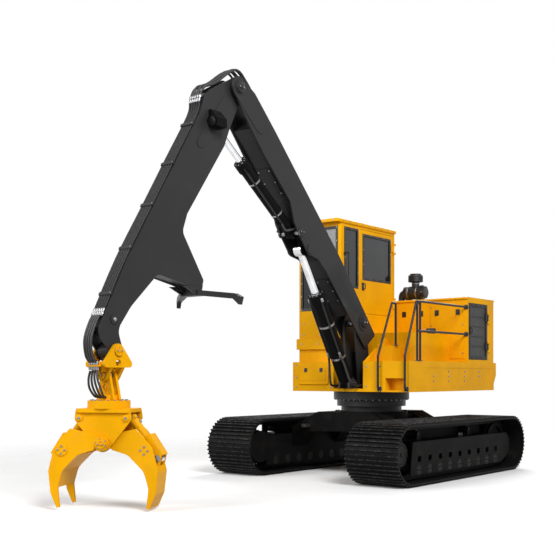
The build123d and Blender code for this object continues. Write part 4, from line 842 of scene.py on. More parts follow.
class LOADER_OT_window_seals(LoaderStep, bpy.types.Operator):
    """Bolted black frames round the cab windows."""
    bl_idname = "loader.window_seals"
    bl_label = "Window frames"

    def execute(self, context):
        # glass node, body, name of the frames, name of their bolts
        rows = (("cab_glass", "house", "window_frames", "window_bolts"),
                ("door_glass", "cab_door", "door_window_frame", "door_window_bolts"))
        for node, body, frame_name, bolt_name in rows:
            bars, bolts = meshes(2)
            for lowest, highest in islands(node):
                self.frame(bars, bolts, lowest, highest)
            add_mesh(frame_name, bars, "rubber", body)
            add_mesh(bolt_name, bolts, "bare_steel", body)
        return {"FINISHED"}

    @staticmethod
    def frame(mesh, bolts, lowest, highest):
        """Four bars over the edge of a pane, with a bolt about every quarter metre."""
        thin = min(range(3), key=lambda axis: highest[axis] - lowest[axis])
        flat = 1 - thin
        outward = 1 if lowest[thin] > CAB_MIDDLE[thin] else -1
        wall = (highest if outward > 0 else lowest)[thin] + outward * 0.012
        inner, outer = wall - outward * 0.010, wall + outward * 0.007
        width, over, gap = sizes().seal_width, 0.012, 0.25

        def corner(along, up, depth):
            point = Vector((0, 0, up))
            point[flat] = along
            point[thin] = depth
            return point

        left, right, sill, head = lowest[flat] - over, highest[flat] + over, lowest.z - over, highest.z + over
        # start, end, bottom and top of each bar
        bars = ((left, left + width, sill, head), (right - width, right, sill, head),
                (left + width, right - width, sill, sill + width),
                (left + width, right - width, head - width, head))
        for start, end, bottom, top in bars:
            pairs = list(zip(corner(start, bottom, inner), corner(end, top, outer)))
            slab(mesh, [min(pair) for pair in pairs], [max(pair) for pair in pairs])
        half = width / 2
        columns = spread(left + half, right - half, max(2, round((right - left - 2 * over) / gap)) + 1)
        rows = spread(sill + half, head - half, max(2, round((head - sill - 2 * over) / gap)) + 1)
        spots = [(along, up) for along in (columns[0], columns[-1]) for up in rows]
        spots += [(along, up) for up in (rows[0], rows[-1]) for along in columns[1:-1]]
        spots = [corner(along, up, outer) for along, up in spots]
        bolt_row(bolts, spots, corner(0, 0, outward), 0.009, 0.008)


class LOADER_OT_seat(LoaderStep, bpy.types.Operator):
    """Suspension seat with bolstered cushions, bellows, runners and belt."""
    bl_idname = "loader.seat"
    bl_label = "Operator seat"

    def execute(self, context):
        lowest, highest = low("operator_seat"), high("operator_seat")
        y = (lowest.y + highest.y) / 2
        seat = shift(highest.x, y, lowest.z)
        lean = turned((lowest.x + 0.105, y, lowest.z + 0.76), -7.5, "Y")
        base, cushion, back, strap = meshes(4)
        for fold in range(7):
            wide = 0.175 if fold % 2 else 0.155
            bellows = seat @ shift(-0.27, 0, 0.05 + fold * 0.033)
            slab(base, (-wide, -wide, 0), (wide, wide, 0.035), 0.012, bellows)
        slab(base, (-0.46, -0.18, 0), (-0.08, 0.18, 0.05), 0.008, seat)
        slab(base, (-0.50, -0.21, 0.28), (-0.04, 0.21, 0.31), 0.008, seat)
        self.pad(cushion, (0.52, 0.36, 0.10), seat @ shift(-0.26, 0, 0.37))
        self.pad(back, (0.095, 0.32, 0.56), lean)
        self.pad(back, (0.10, 0.27, 0.13), lean @ shift(0, 0, 0.315))
        for way in SIDES:
            slab(base, (-0.48, way * 0.235 - 0.02, 0.02), (-0.06, way * 0.235 + 0.02, 0.05), 0.006, seat)
            self.pad(cushion, (0.50, 0.09, 0.13), seat @ shift(-0.265, way * 0.215, 0.375))
            self.pad(back, (0.12, 0.08, 0.54), lean @ shift(0.01, way * 0.195, -0.01))
            webbing = [(-0.44, way * 0.25, 0.33), (-0.36, way * 0.2, 0.46), (-0.30, way * 0.05, 0.455)]
            pipe(strap, smooth_path(webbing), 0.012, 6, seat)
        slab(strap, (-0.33, -0.035, 0.44), (-0.27, 0.035, 0.465), 0.005, seat)
        add_mesh("seat_base", base, "black_plastic", "house")
        squab = add_mesh("seat_cushion", cushion, "seat_cloth", "house")
        rest = add_mesh("seat_back", back, "seat_cloth", "house")
        add_mesh("seat_belt", strap, "rubber", "house")
        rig.replaces(squab, "operator_seat")
        for piece in (squab, rest):
            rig.padded(piece, 0.8)
        return {"FINISHED"}

    @staticmethod
    def pad(mesh, size, place):
        """Stuffed block with round edges and a slightly domed face."""
        part = bmesh.new()
        bmesh.ops.create_cube(part, size=1)
        bmesh.ops.subdivide_edges(part, edges=part.edges[:], cuts=5, use_grid_fill=True)
        for vert in part.verts:
            point = vert.co * 2
            reach = sum(abs(value) ** 6 for value in point) ** (1 / 6)
            vert.co = point / reach * max(map(abs, point)) / 2
        bmesh.ops.scale(part, vec=size, verts=part.verts)
        join(mesh, part, place)


class LOADER_OT_cab_trim(LoaderStep, bpy.types.Operator):
    """Wiper, handles, roof seams, controls, pedals and display of the cab."""
    bl_idname = "loader.cab_trim"
    bl_label = "Cab trim"

    def execute(self, context):
        black, leaf = meshes(2)
        self.wiper(black)
        self.handle(black, CAB_HIGH.x - 0.10, CAB_HIGH.y, 1, 3.10, 3.75)
        self.handle(black, CAB_LOW.x + 0.5, CAB_LOW.y, -1, 2.75, 3.1)
        add_mesh("cab_handles", black, "black_paint", "house")
        self.roof()
        self.interior()
        latch = shift(high("cab_door").x - 0.085, low("door_glass").y + 0.022, 3.22)
        slab(leaf, (-0.03, 0, -0.07), (0.03, 0.014, 0.07), 0.005, latch)
        grip = [(0, 0.012, -0.05), (0, 0.05, -0.04), (0, 0.055, 0), (0, 0.05, 0.04), (0, 0.012, 0.05)]
        pipe(leaf, smooth_path(grip, 5), 0.009, 8, latch)
        add_mesh("door_handle", leaf, "black_plastic", "cab_door")
        return {"FINISHED"}

    @staticmethod
    def wiper(mesh):
        hub = shift(CAB_HIGH.x, CAB_MIDDLE.y, 4.235)
        stack(mesh, hub @ turned((0, 0, 0), 90, "Y"), [(0.030, 0), (0.030, 0.02), (0.018, 0.034)], 16)
        pipe(mesh, [(0.024, 0, 0), (0.032, 0.12, -0.335), (0.026, 0.22, -0.685)], 0.008, 8, hub)
        slab(mesh, (0.008, 0.205, -0.985), (0.024, 0.235, -0.385), 0.003, hub)

    @staticmethod
    def handle(mesh, x, y, way, bottom, top):
        """Round grab handle with two foot plates."""
        out = y + way * 0.07
        route = [(y, bottom), (out, bottom), (out, bottom + 0.05), (out, top - 0.05), (out, top), (y, top)]
        pipe(mesh, smooth_path([(x, side, z) for side, z in route], 6), 0.012)
        for z in (bottom, top):
            stack(mesh, facing((x, y, z), (0, way, 0)), [(0.03, 0), (0.03, 0.006), (0.02, 0.010)], 16)

    @staticmethod
    def roof():
        """Raised panel, drip rails and edge bolts."""
        lowest, highest = low("cab_roof"), high("cab_roof")
        edge = (lowest.z + highest.z) / 2 - 0.004
        plate, bolts = meshes(2)
        slab(plate, (lowest.x + 0.16, lowest.y + 0.12, highest.z - 0.002),
             (highest.x - 0.2, highest.y - 0.12, highest.z + 0.012), 0.006)
        for y, way in ((lowest.y, -1), (highest.y, 1)):
            ends = lowest.x + 0.05, highest.x - 0.05
            pipe(plate, [(x, y - way * 0.012, lowest.z - 0.004) for x in ends], 0.008, 8)
            row = [(x, y, edge) for x in spread(lowest.x + 0.12, highest.x - 0.18, 9)]
            bolt_row(bolts, row, (0, way, 0), 0.010, 0.008)
        row = [(highest.x, y, edge) for y in spread(lowest.y + 0.10, highest.y - 0.10, 6)]
        bolt_row(bolts, row, FORWARD, 0.010, 0.008)
        add_mesh("cab_roof_panel", plate, "yellow_paint", "house")
        add_mesh("cab_roof_bolts", bolts, "bare_steel", "house")

    @staticmethod
    def interior():
        """Joystick boots, switches, floor mat, pedals and display."""
        dark, panel = meshes(2)
        floor = low("operator_seat").z
        for lowest, highest in islands("control_pods"):
            pod = shift(highest.x - 0.07, (lowest.y + highest.y) / 2, floor + 0.56)
            for fold in range(5):
                boot = pod @ shift(0, 0, fold * 0.012)
                profile = ((0.045, 0), (0.049, 0.006), (0.043, 0.012))
                stack(dark, boot, [(radius - fold * 0.005, height) for radius, height in profile], 16)
            for x in spread(-0.23, -0.15, 3):
                slab(dark, (x, -0.03, 0), (x + 0.025, 0.03, 0.008), 0.002, pod)
        slab(dark, (CAB_LOW.x + 0.35, CAB_LOW.y + 0.08, floor - 0.0002),
             (CAB_HIGH.x - 0.08, CAB_HIGH.y - 0.08, floor + 0.012), 0.003)
        for way in SIDES:
            foot = Vector((CAB_HIGH.x - 0.28, CAB_MIDDLE.y + way * 0.13, floor))
            pedal = turned(foot + Vector((0, 0, 0.06)), -32, "Y")
            slab(dark, (-0.13, -0.05, 0), (0.13, 0.05, 0.014), 0.005, pedal)
            for x in spread(-0.11, 0.10, 6):
                slab(dark, (x, -0.045, 0.014), (x + 0.015, 0.045, 0.020), 0.001, pedal)
            pipe(dark, [foot + Vector((0.03, 0, 0.01)), foot + Vector((0, 0, 0.07))], 0.014, 8)
        add_mesh("cab_controls", dark, "black_plastic", "house")
        display = turned((CAB_HIGH.x - 0.20, CAB_LOW.y + 0.17, 3.32), -28, "Z")
        slab(panel, (-0.02, -0.13, -0.09), (0.02, 0.13, 0.09), 0.008, display)
        pipe(panel, smooth_path([(0.02, 0, -0.05), (0.06, 0, -0.10), (0.07, 0, -0.30)]), 0.012, 8, display)
        add_mesh("cab_display", panel, "black_plastic", "house")


class LOADER_OT_house_panels(LoaderStep, bpy.types.Operator):
    """Service doors, latches, louvres and bolts on the deck, engine house and counterweight."""
    bl_idname = "loader.house_panels"
    bl_label = "House panels"

    def execute(self, context):
        plates, dark, bolts = meshes(3)
        self.engine(plates, dark, bolts)
        self.roof(plates, bolts)
        self.deck(bolts)
        self.plugs(plates, dark)
        add_mesh("house_panels", plates, "yellow_paint", "house")
        add_mesh("house_latches", dark, "black_plastic", "house")
        add_mesh("house_bolts", bolts, "bare_steel", "house")
        return {"FINISHED"}

    @staticmethod
    def engine(plates, dark, bolts):
        """Doors, latches and louvres of the engine house."""
        lowest, highest = low("engine_house"), high("engine_house")
        front, far, rear = highest.x, lowest.y, lowest.x
        bottom, top = 1.98, 2.92
        for left, right, sill in ((-0.30, 0.40, 2.44), (0.43, 1.10, 1.95)):
            slab(plates, (front - 0.001, left, sill), (front + 0.010, right, 2.93), 0.006)
        for y in (-0.12, 0.24, 0.56, 0.98):
            latch = shift(front, y, 2.78)
            slab(dark, (0.008, -0.04, -0.05), (0.022, 0.04, 0.05), 0.006, latch)
            slab(dark, (0.020, -0.012, -0.035), (0.034, 0.012, 0.02), 0.004, latch)
        spots = [(front + 0.010, y, z) for y in (0.45, 1.08) for z in (2.05, 2.55, 2.88)]
        bolt_row(bolts, spots, FORWARD, 0.010, 0.008)
        slab(plates, (-2.20, far - 0.010, bottom), (-1.44, far + 0.001, top), 0.006)
        for z in spread(2.06, 2.814, 14):
            louvre = turned((-1.82, far - 0.010, z), 32, "X")
            slab(plates, (-0.30, -0.020, -0.004), (0.30, 0.010, 0.004), 0.002, louvre)
        for left, right in ((-1.05, -0.05), (0.05, 1.05)):
            slab(plates, (rear - 0.010, left, bottom), (rear + 0.001, right, top), 0.006)
            for z in spread(2.50, 2.815, 8):
                louvre = turned((rear - 0.010, (left + right) / 2, z), -32, "Y")
                slab(plates, (-0.018, -0.36, -0.004), (0.010, 0.36, 0.004), 0.002, louvre)
            for y in (left + 0.12, right - 0.12):
                slab(dark, (rear - 0.024, y - 0.035, 2.20), (rear - 0.008, y + 0.035, 2.30), 0.006)

    @staticmethod
    def roof(plates, bolts):
        """Two raised panels with bolts at their edges."""
        lowest, highest = low("engine_roof"), high("engine_roof")
        top = highest.z + 0.010
        for left, right in ((lowest.y + 0.08, -0.42), (0.42, highest.y - 0.08)):
            slab(plates, (lowest.x + 0.12, left, highest.z - 0.001), (highest.x - 0.12, right, top), 0.006)
            for x in (lowest.x + 0.16, highest.x - 0.16):
                bolt_row(bolts, [(x, y, top) for y in spread(left + 0.06, right - 0.06, 3)], UP, 0.010, 0.008)

    @staticmethod
    def deck(bolts):
        """Rows of bolts in the side panels, the front and the cab riser."""
        bare = ((-0.10, 1.72), (-1.75, 1.56))
        spots = [(x, z) for x in (-1.75, -1.20, -0.62, -0.10) for z in (1.56, 1.64, 1.72)]
        for y, way in ((DECK_HIGH.y - 0.006, 1), (DECK_LOW.y + 0.006, -1)):
            row = [(x, y, z) for x, z in spots if (x, z) not in bare]
            bolt_row(bolts, row, (0, way, 0), 0.013, 0.010)
        for columns, rows in (((0.36, 0.62), (1.47, 1.80)), ((-1.09, -0.36), (1.45, 1.62, 1.83))):
            bolt_row(bolts, [(DECK_HIGH.x, y, z) for y in columns for z in rows], FORWARD, 0.013, 0.010)
        ledge = high("cab_riser")
        for y in (-1.05, -0.70, -0.38):
            bolt_row(bolts, [(CAB_HIGH.x, y, z) for z in (2.36, 2.55)], FORWARD, 0.011, 0.009)
            hexagon(bolts, (ledge.x, y, ledge.z - 0.09), FORWARD, 0.012, 0.009)

    @staticmethod
    def plugs(plates, dark):
        """Plugs of the counterweight, the tank's filler and its front panel."""
        rear, crown = low("counterweight").x, high("counterweight").z
        for side in SIDES:
            back = turned((rear, side * 0.75, crown - 0.065), -90, "Y")
            stack(dark, back, [(0.05, -0.002), (0.05, 0.012), (0.035, 0.018)], 20)
            top = shift(rear + 0.13, side * 0.95, crown)
            stack(dark, top, [(0.055, -0.002), (0.055, 0.010), (0.03, 0.016)], 20)
        tank = high("tank")
        filler = shift(tank.x - 1.05, tank.y - 0.22, tank.z)
        stack(dark, filler, [(0.075, -0.002), (0.075, 0.03), (0.065, 0.034), (0.065, 0.06), (0.085, 0.062),
                             (0.085, 0.10), (0.070, 0.112)], 24)
        for place in around(filler, 8):
            slab(dark, (0.080, -0.008, 0.064), (0.092, 0.008, 0.096), 0.002, place)
        slab(plates, (tank.x - 0.001, 0.10, 1.99), (tank.x + 0.008, 0.70, 2.33), 0.006)


class LOADER_OT_doors(LoaderStep, bpy.types.Operator):
    """Screen and latch of the cooler door, latches and trim of the tool flap."""
    bl_idname = "loader.doors"
    bl_label = "Service doors"

    def execute(self, context):
        self.cooler()
        self.flap()
        return {"FINISHED"}

    @staticmethod
    def cooler():
        lowest, highest = low("cooler_door"), high("cooler_door")
        face, rim = DECK_HIGH.y - 0.013, 0.055
        left, right = lowest.x + rim, highest.x - rim
        sill, head = lowest.z + rim, highest.z - rim
        wires, ribs = meshes(2)
        slab(wires, (left + 0.012, face - 0.001, sill), (right, face + 0.008, head), 0.002)
        for z in spread(sill, head, 6)[1:-1]:
            slab(ribs, (left + 0.012, face + 0.004, z - 0.010), (right, face + 0.018, z + 0.010), 0.003)
        latch = shift(right + 0.026, face, 2.45)
        slab(ribs, (-0.016, 0.022, -0.07), (0.016, 0.036, 0.07), 0.005, latch)
        grip = [(0, 0.03, -0.05), (0, 0.06, -0.03), (0, 0.06, 0.03), (0, 0.03, 0.05)]
        pipe(ribs, smooth_path(grip, 5), 0.008, 8, latch)
        for z in (sill - 0.028, head + 0.028):
            row = [(x, face + 0.024, z) for x in spread(left + 0.04, right - 0.04, 4)]
            bolt_row(ribs, row, (0, 1, 0), 0.010, 0.008)
        add_mesh("cooler_screen", wires, "screen", "cooler_door")
        add_mesh("cooler_door_trim", ribs, "black_paint", "cooler_door")

    @staticmethod
    def flap():
        lowest, highest = low("tool_door"), high("tool_door")
        x = highest.x - 0.012
        trim, latches = meshes(2)
        slab(trim, (x - 0.001, lowest.y + 0.05, lowest.z + 0.07),
             (x + 0.006, highest.y - 0.05, highest.z - 0.05))
        for y in (lowest.y + 0.14, highest.y - 0.14):
            latch = shift(x, y, highest.z)
            slab(latches, (0.004, -0.03, -0.10), (0.016, 0.03, -0.03), 0.004, latch)
            slab(latches, (0.014, -0.010, -0.085), (0.024, 0.010, -0.045), 0.003, latch)
        add_mesh("tool_flap_panel", trim, "yellow_paint", "tool_door")
        add_mesh("tool_flap_latches", latches, "black_plastic", "tool_door")


class LOADER_OT_treads(LoaderStep, bpy.types.Operator):
    """Non-slip plates on the walkway, tank, step box and front step."""
    bl_idname = "loader.treads"
    bl_label = "Tread plates"

    def execute(self, context):
        mesh = bmesh.new()
        tank, box = high("tank"), high("step_box")
        # ends along x, ends along y, and height
        plates = (
            (low("tank").x + 0.04, tank.x - 0.04, low("tank").y + 0.05, tank.y - 0.42, tank.z),
            (low("step_box").x + 0.03, box.x - 0.03, low("step_box").y + 0.03, box.y - 0.03, box.z),
            (-1.24, 0.36, tank.y + 0.05, DECK_HIGH.y - 0.09, DECK_TOP),
            (DECK_HIGH.x - 0.16, DECK_HIGH.x - 0.01, 0.745, 1.065, 1.404),
        )
        for x0, x1, y0, y1, z in plates:
            slab(mesh, (x0, y0, z - 0.0005), (x1, y1, z + 0.004), 0.001)
            self.studs(mesh, x0, x1, y0, y1, z + 0.004)
        add_mesh("tread_plates", mesh, "yellow_paint", "house", smooth=False)
        return {"FINISHED"}

    @staticmethod
    def studs(mesh, x0, x1, y0, y1, z):
        """Rows of raised lozenges that lie alternately across each other."""
        pitch = 0.055
        points = ((0.018, 0, 0), (0, 0.006, 0), (-0.018, 0, 0), (0, -0.006, 0),
                  (0.008, 0, 0.004), (-0.008, 0, 0.004))
        faces = ((0, 1, 4), (1, 5, 4), (1, 2, 5), (2, 3, 5), (3, 4, 5), (3, 0, 4))
        for row in range(1, int((x1 - x0) / pitch)):
            for column in range(1, int((y1 - y0) / pitch)):
                angle = 45 if (row + column) % 2 else -45
                place = turned((x0 + row * pitch, y0 + column * pitch, z), angle, "Z")
                verts = [mesh.verts.new(place @ Vector(point)) for point in points]
                for corners in faces:
                    mesh.faces.new([verts[index] for index in corners])


class LOADER_OT_rails(LoaderStep, bpy.types.Operator):
    """Foot plates and bolts of the handrails."""
    bl_idname = "loader.rails"
    bl_label = "Rail feet"

    def execute(self, context):
        plates, bolts = meshes(2)
        rails = islands("handrails")
        first, last = max(rails, key=lambda pair: pair[1].x - pair[0].x)
        tube, y = 0.019, (first.y + last.y) / 2
        feet = [((last.x - tube, y, DECK_TOP), UP), ((first.x, y, last.z - tube), FORWARD),
                ((first.x, y, 2.38), FORWARD)]
        for lowest, highest in rails:
            if lowest == first:
                continue
            side = (lowest.y + highest.y) / 2
            stand = high("step_box").z if side < 0.9 else DECK_TOP
            feet.append(((DECK_HIGH.x, side, lowest.z + tube), FORWARD))
            feet.append(((lowest.x + tube, side, stand), UP))
        for place, normal in feet:
            foot = facing(place, normal)
            stack(plates, foot, [(0.045, 0), (0.045, 0.008), (0.03, 0.010), (0.024, 0.020)], 20)
            bolt_ring(bolts, foot @ Vector((0, 0, 0.008)), normal, 0.035, 4, 0.007, math.pi / 4)
        add_mesh("rail_feet", plates, "black_paint", "house")
        add_mesh("rail_bolts", bolts, "bare_steel", "house")
        return {"FINISHED"}


class LOADER_OT_air_cleaner(LoaderStep, bpy.types.Operator):
    """Bands, clamps, intake vanes and cover of the air cleaner."""
    bl_idname = "loader.air_cleaner"
    bl_label = "Air cleaner trim"

    def execute(self, context):
        lowest, highest = low("air_cleaner"), high("air_cleaner")
        x, z = (lowest.x + highest.x) / 2, 3.195
        dark, bright = meshes(2)
        can = turned((x, 0, z), -90, "X")
        for y in (-0.17, 0.01):
            band = can @ shift(0, 0, y)
            stack(bright, band, [(0.1255, 0), (0.1285, 0.003), (0.1285, 0.027), (0.1255, 0.03)], 32)
            slab(bright, (x - 0.14, y, z - 0.012), (x - 0.12, y + 0.03, z + 0.012), 0.003)
        cover = can @ shift(0, 0, highest.y)
        stack(dark, cover, [(0.100, -0.002), (0.100, 0.008), (0.085, 0.012)], 32)
        for place in around(cover, 6):
            slab(bright, (0.105, -0.012, -0.055), (0.122, 0.012, 0.0), 0.003, place)
        cap = shift(x, (lowest.y + highest.y) / 2, highest.z - 0.15)
        for place in around(cap, 36):
            slab(dark, (0.124, -0.004, 0.018), (0.136, 0.004, 0.085), 0.0015, place)
        stack(dark, cap, [(0.126, 0.0), (0.139, 0.004), (0.139, 0.016), (0.126, 0.020)], 40)
        stack(dark, cap, [(0.126, 0.088), (0.138, 0.092), (0.138, 0.108), (0.126, 0.124)], 40)
        neck = cap @ shift(0, 0, -0.045)
        stack(bright, neck, [(0.072, 0), (0.077, 0.004), (0.077, 0.020), (0.072, 0.024)], 28)
        hexagon(bright, cap @ Vector((0, 0, 0.15)), UP, 0.012, 0.010)
        duct = [(x, -0.15, z), (x, -0.27, z), (x, -0.32, z - 0.04), (x, -0.33, 3.03)]
        pipe(dark, smooth_path(duct), 0.062, 20)
        add_mesh("air_cleaner_trim", dark, "black_plastic", "house")
        add_mesh("air_cleaner_clamps", bright, "bare_steel", "house")
        return {"FINISHED"}


class LOADER_OT_fasteners(LoaderStep, bpy.types.Operator):
    """Bolts of the slew ring, final drives, rollers and shoes, and the pin keepers."""
    bl_idname = "loader.fasteners"
    bl_label = "Fasteners"

    def execute(self, context):
        self.undercarriage()
        self.shoes()
        self.pins()
        return {"FINISHED"}

    @staticmethod
    def undercarriage():
        bolts, upper = meshes(2)
        x = (low("sprockets").x + high("sprockets").x) / 2
        z = (low("track_left").z + high("track_left").z) / 2
        bolt_ring(bolts, (0, 0, high("carbody").z), UP, 0.612, 32, 0.014)
        for side in SIDES:
            y, out = side * TRACK_Y, (0, side, 0)
            drive = (x, y + side * 0.255, z)
            bolt_ring(bolts, drive, out, 0.145, 12, 0.012)
            bolt_ring(bolts, (x, y + side * 0.190, z), out, 0.205, 16, 0.012)
            stack(bolts, facing(drive, out), [(0.03, 0), (0.03, 0.012), (0.02, 0.018)], 16)
            bolt_ring(bolts, (-x, y + side * 0.116, z), out, 0.09, 8, 0.012)
        for lowest, highest in islands("bottom_rollers"):
            side = 1 if lowest.y > 0 else -1
            centre = (lowest + highest) / 2
            centre.y = highest.y if side > 0 else lowest.y
            bolt_ring(bolts, centre, (0, side, 0), 0.052, 4, 0.009, math.pi / 4)
            hexagon(bolts, centre, (0, side, 0), 0.012, 0.010)
        add_mesh("undercarriage_bolts", bolts, "dark_iron", "undercarriage")
        bolt_ring(upper, (0, 0, low("house_ring").z), DOWN, 0.623, 36, 0.014)
        add_mesh("house_ring_bolts", upper, "bare_steel", "house")

    @staticmethod
    def shoes():
        """Four bolt heads on each track shoe, between its three grousers."""
        mesh = bmesh.new()
        base, top = low("track_left"), high("track_left")
        grouser, grousers = 0.030, 144
        height = top.z - base.z
        radius = height / 2 - grouser
        straight = top.x - base.x - height
        half = straight + math.pi * radius
        for index in range(grousers):
            if index % 3 == 0:
                continue
            distance = index * 2 * half / grousers
            way = -1 if distance < half else 1
            along = distance if way < 0 else distance - half
            if along < straight:
                x, normal = way * (along - straight / 2), (0, way)
            else:
                angle = way * math.pi / 2 - (along - straight) / radius
                x, normal = way * straight / 2, (math.cos(angle), math.sin(angle))
            for side in SIDES:
                for row in (-0.125, 0.125):
                    spot = (x + radius * normal[0], side * TRACK_Y + row, height / 2 + radius * normal[1])
                    hexagon(mesh, spot, (normal[0], 0, normal[1]), 0.011, 0.012)
        add_mesh("track_shoe_bolts", mesh, "track_iron", "undercarriage")

    @staticmethod
    def pins():
        """Keepers on the pins of the mast, boom and hanger."""
        rows = (("house", "mast_pins", "black_paint"), ("boom", "boom_pins", "black_paint"),
                ("hanger", "hanger_pins", "yellow_paint"))
        for body, node, finish in rows:
            cover, bolts = meshes(2)
            for lowest, highest in islands(node):
                size = highest - lowest
                axis = max(range(3), key=lambda index: size[index])
                radius = min(value for index, value in enumerate(size) if index != axis) / 2
                for way, corner in ((-1, lowest), (1, highest)):
                    centre = (lowest + highest) / 2
                    centre[axis] = corner[axis]
                    normal = Vector((0, 0, 0))
                    normal[axis] = way
                    pin_end(cover, bolts, centre, normal, radius)
            add_mesh(f"{node}_covers", cover, finish, body)
            add_mesh(f"{node}_bolts", bolts, "bare_steel", body)


class LOADER_OT_boom_lines(LoaderStep, bpy.types.Operator):
    """Hard lines along the boom and stick, with clamps, fittings and weld beads."""
    bl_idname = "loader.boom_lines"
    bl_label = "Hard lines"

    def execute(self, context):
        # distance and height of the route and of the clamps
        boom_route = ((0.40, 0.222), (0.80, 0.236), (1.21, 0.251),
                      (2.40, 0.257), (3.58, 0.263), (3.86, 0.259))
        boom_clamps = ((0.70, 0.232), (1.35, 0.252), (2.10, 0.2555), (2.85, 0.2595), (3.55, 0.2625))
        stick_route = ((0.66, 0.445), (0.86, 0.388), (1.60, 0.402),
                       (2.40, 0.415), (3.283, 0.432), (4.02, 0.392))
        stick_clamps = ((1.02, 0.391), (1.72, 0.404), (2.42, 0.415), (3.12, 0.428), (3.80, 0.404))
        # body, its line, route, clamps, half width of a clamp, place and size of its bolts, what else it has
        rows = (("boom", on_boom, boom_route, boom_clamps, 0.125, 0.112, 0.010, self.boom),
                ("stick", on_stick, stick_route, stick_clamps, 0.112, 0.102, 0.009, self.stick))
        for body, at, route, spots, half, inset, bolt, rest in rows:
            lines, clamps, bright = meshes(3)
            for y in line_rows():
                path = [at(distance, height, y) for distance, height in route]
                pipe(lines, smooth_path(path, 4), sizes().pipe)
                fitting(bright, path[-1], path[-1] - path[-2], sizes().pipe)
                fitting(bright, path[0], path[0] - path[1], sizes().pipe)
            for distance, height in spots:
                place = at.tilt(distance, height)
                slab(clamps, (-0.028, -half, -0.024), (0.028, half, 0.019), 0.005, place)
                ends = [place @ Vector((0, side * inset, 0.019)) for side in SIDES]
                bolt_row(bright, ends, at.rise, bolt, 0.008)
            rest(clamps, bright)
            add_mesh(f"{body}_pipes", lines, "black_paint", body)
            add_mesh(f"{body}_clamps", clamps, "black_paint", body)
            add_mesh(f"{body}_fittings", bright, "bare_steel", body)
        return {"FINISHED"}

    @staticmethod
    def boom(clamps, bright):
        """Cover plates under the boom and the beads of its bosses."""
        for distance, height in ((0.87, -0.186), (3.00, -0.172)):
            place = on_boom.tilt(distance, height)
            slab(clamps, (-0.25, -0.12, -0.010), (0.25, 0.12, 0.001), 0.004, place)
            spots = [place @ Vector((x, y, -0.010)) for x in (-0.2, 0.0, 0.2) for y in (-0.10, 0.10)]
            bolt_row(bright, spots, -on_boom.rise, 0.012, 0.010)
        for side in SIDES:
            y = side * (BOOM_HALF + 0.0005)
            for boss, radius in ((FOOT, 0.139), (TIP, 0.109)):
                bead(clamps, boss + Vector((0, y, 0)), (0, side, 0), radius, 0.006)
            bead(clamps, on_boom(1.817, -0.302, y), (0, side, 0), 0.074, 0.006)

    @staticmethod
    def stick(clamps, bright):
        """Beads of the stick's bosses and the caps at its lower end."""
        for side in SIDES:
            y, out = side * (STICK_HALF + 0.0005), (0, side, 0)
            bead(clamps, TIP + Vector((0, y, 0)), out, 0.128, 0.006)
            bead(clamps, TIP + Vector((0.296, y, -0.592)), out, 0.069, 0.006)
            cap = on_stick(4.06, 0.22, y)
            stack(clamps, facing(cap, out), [(0.062, -0.002), (0.062, 0.010), (0.050, 0.012)], 28)
            hexagon(bright, cap + Vector((0, side * 0.012, 0)), out, 0.022, 0.016)


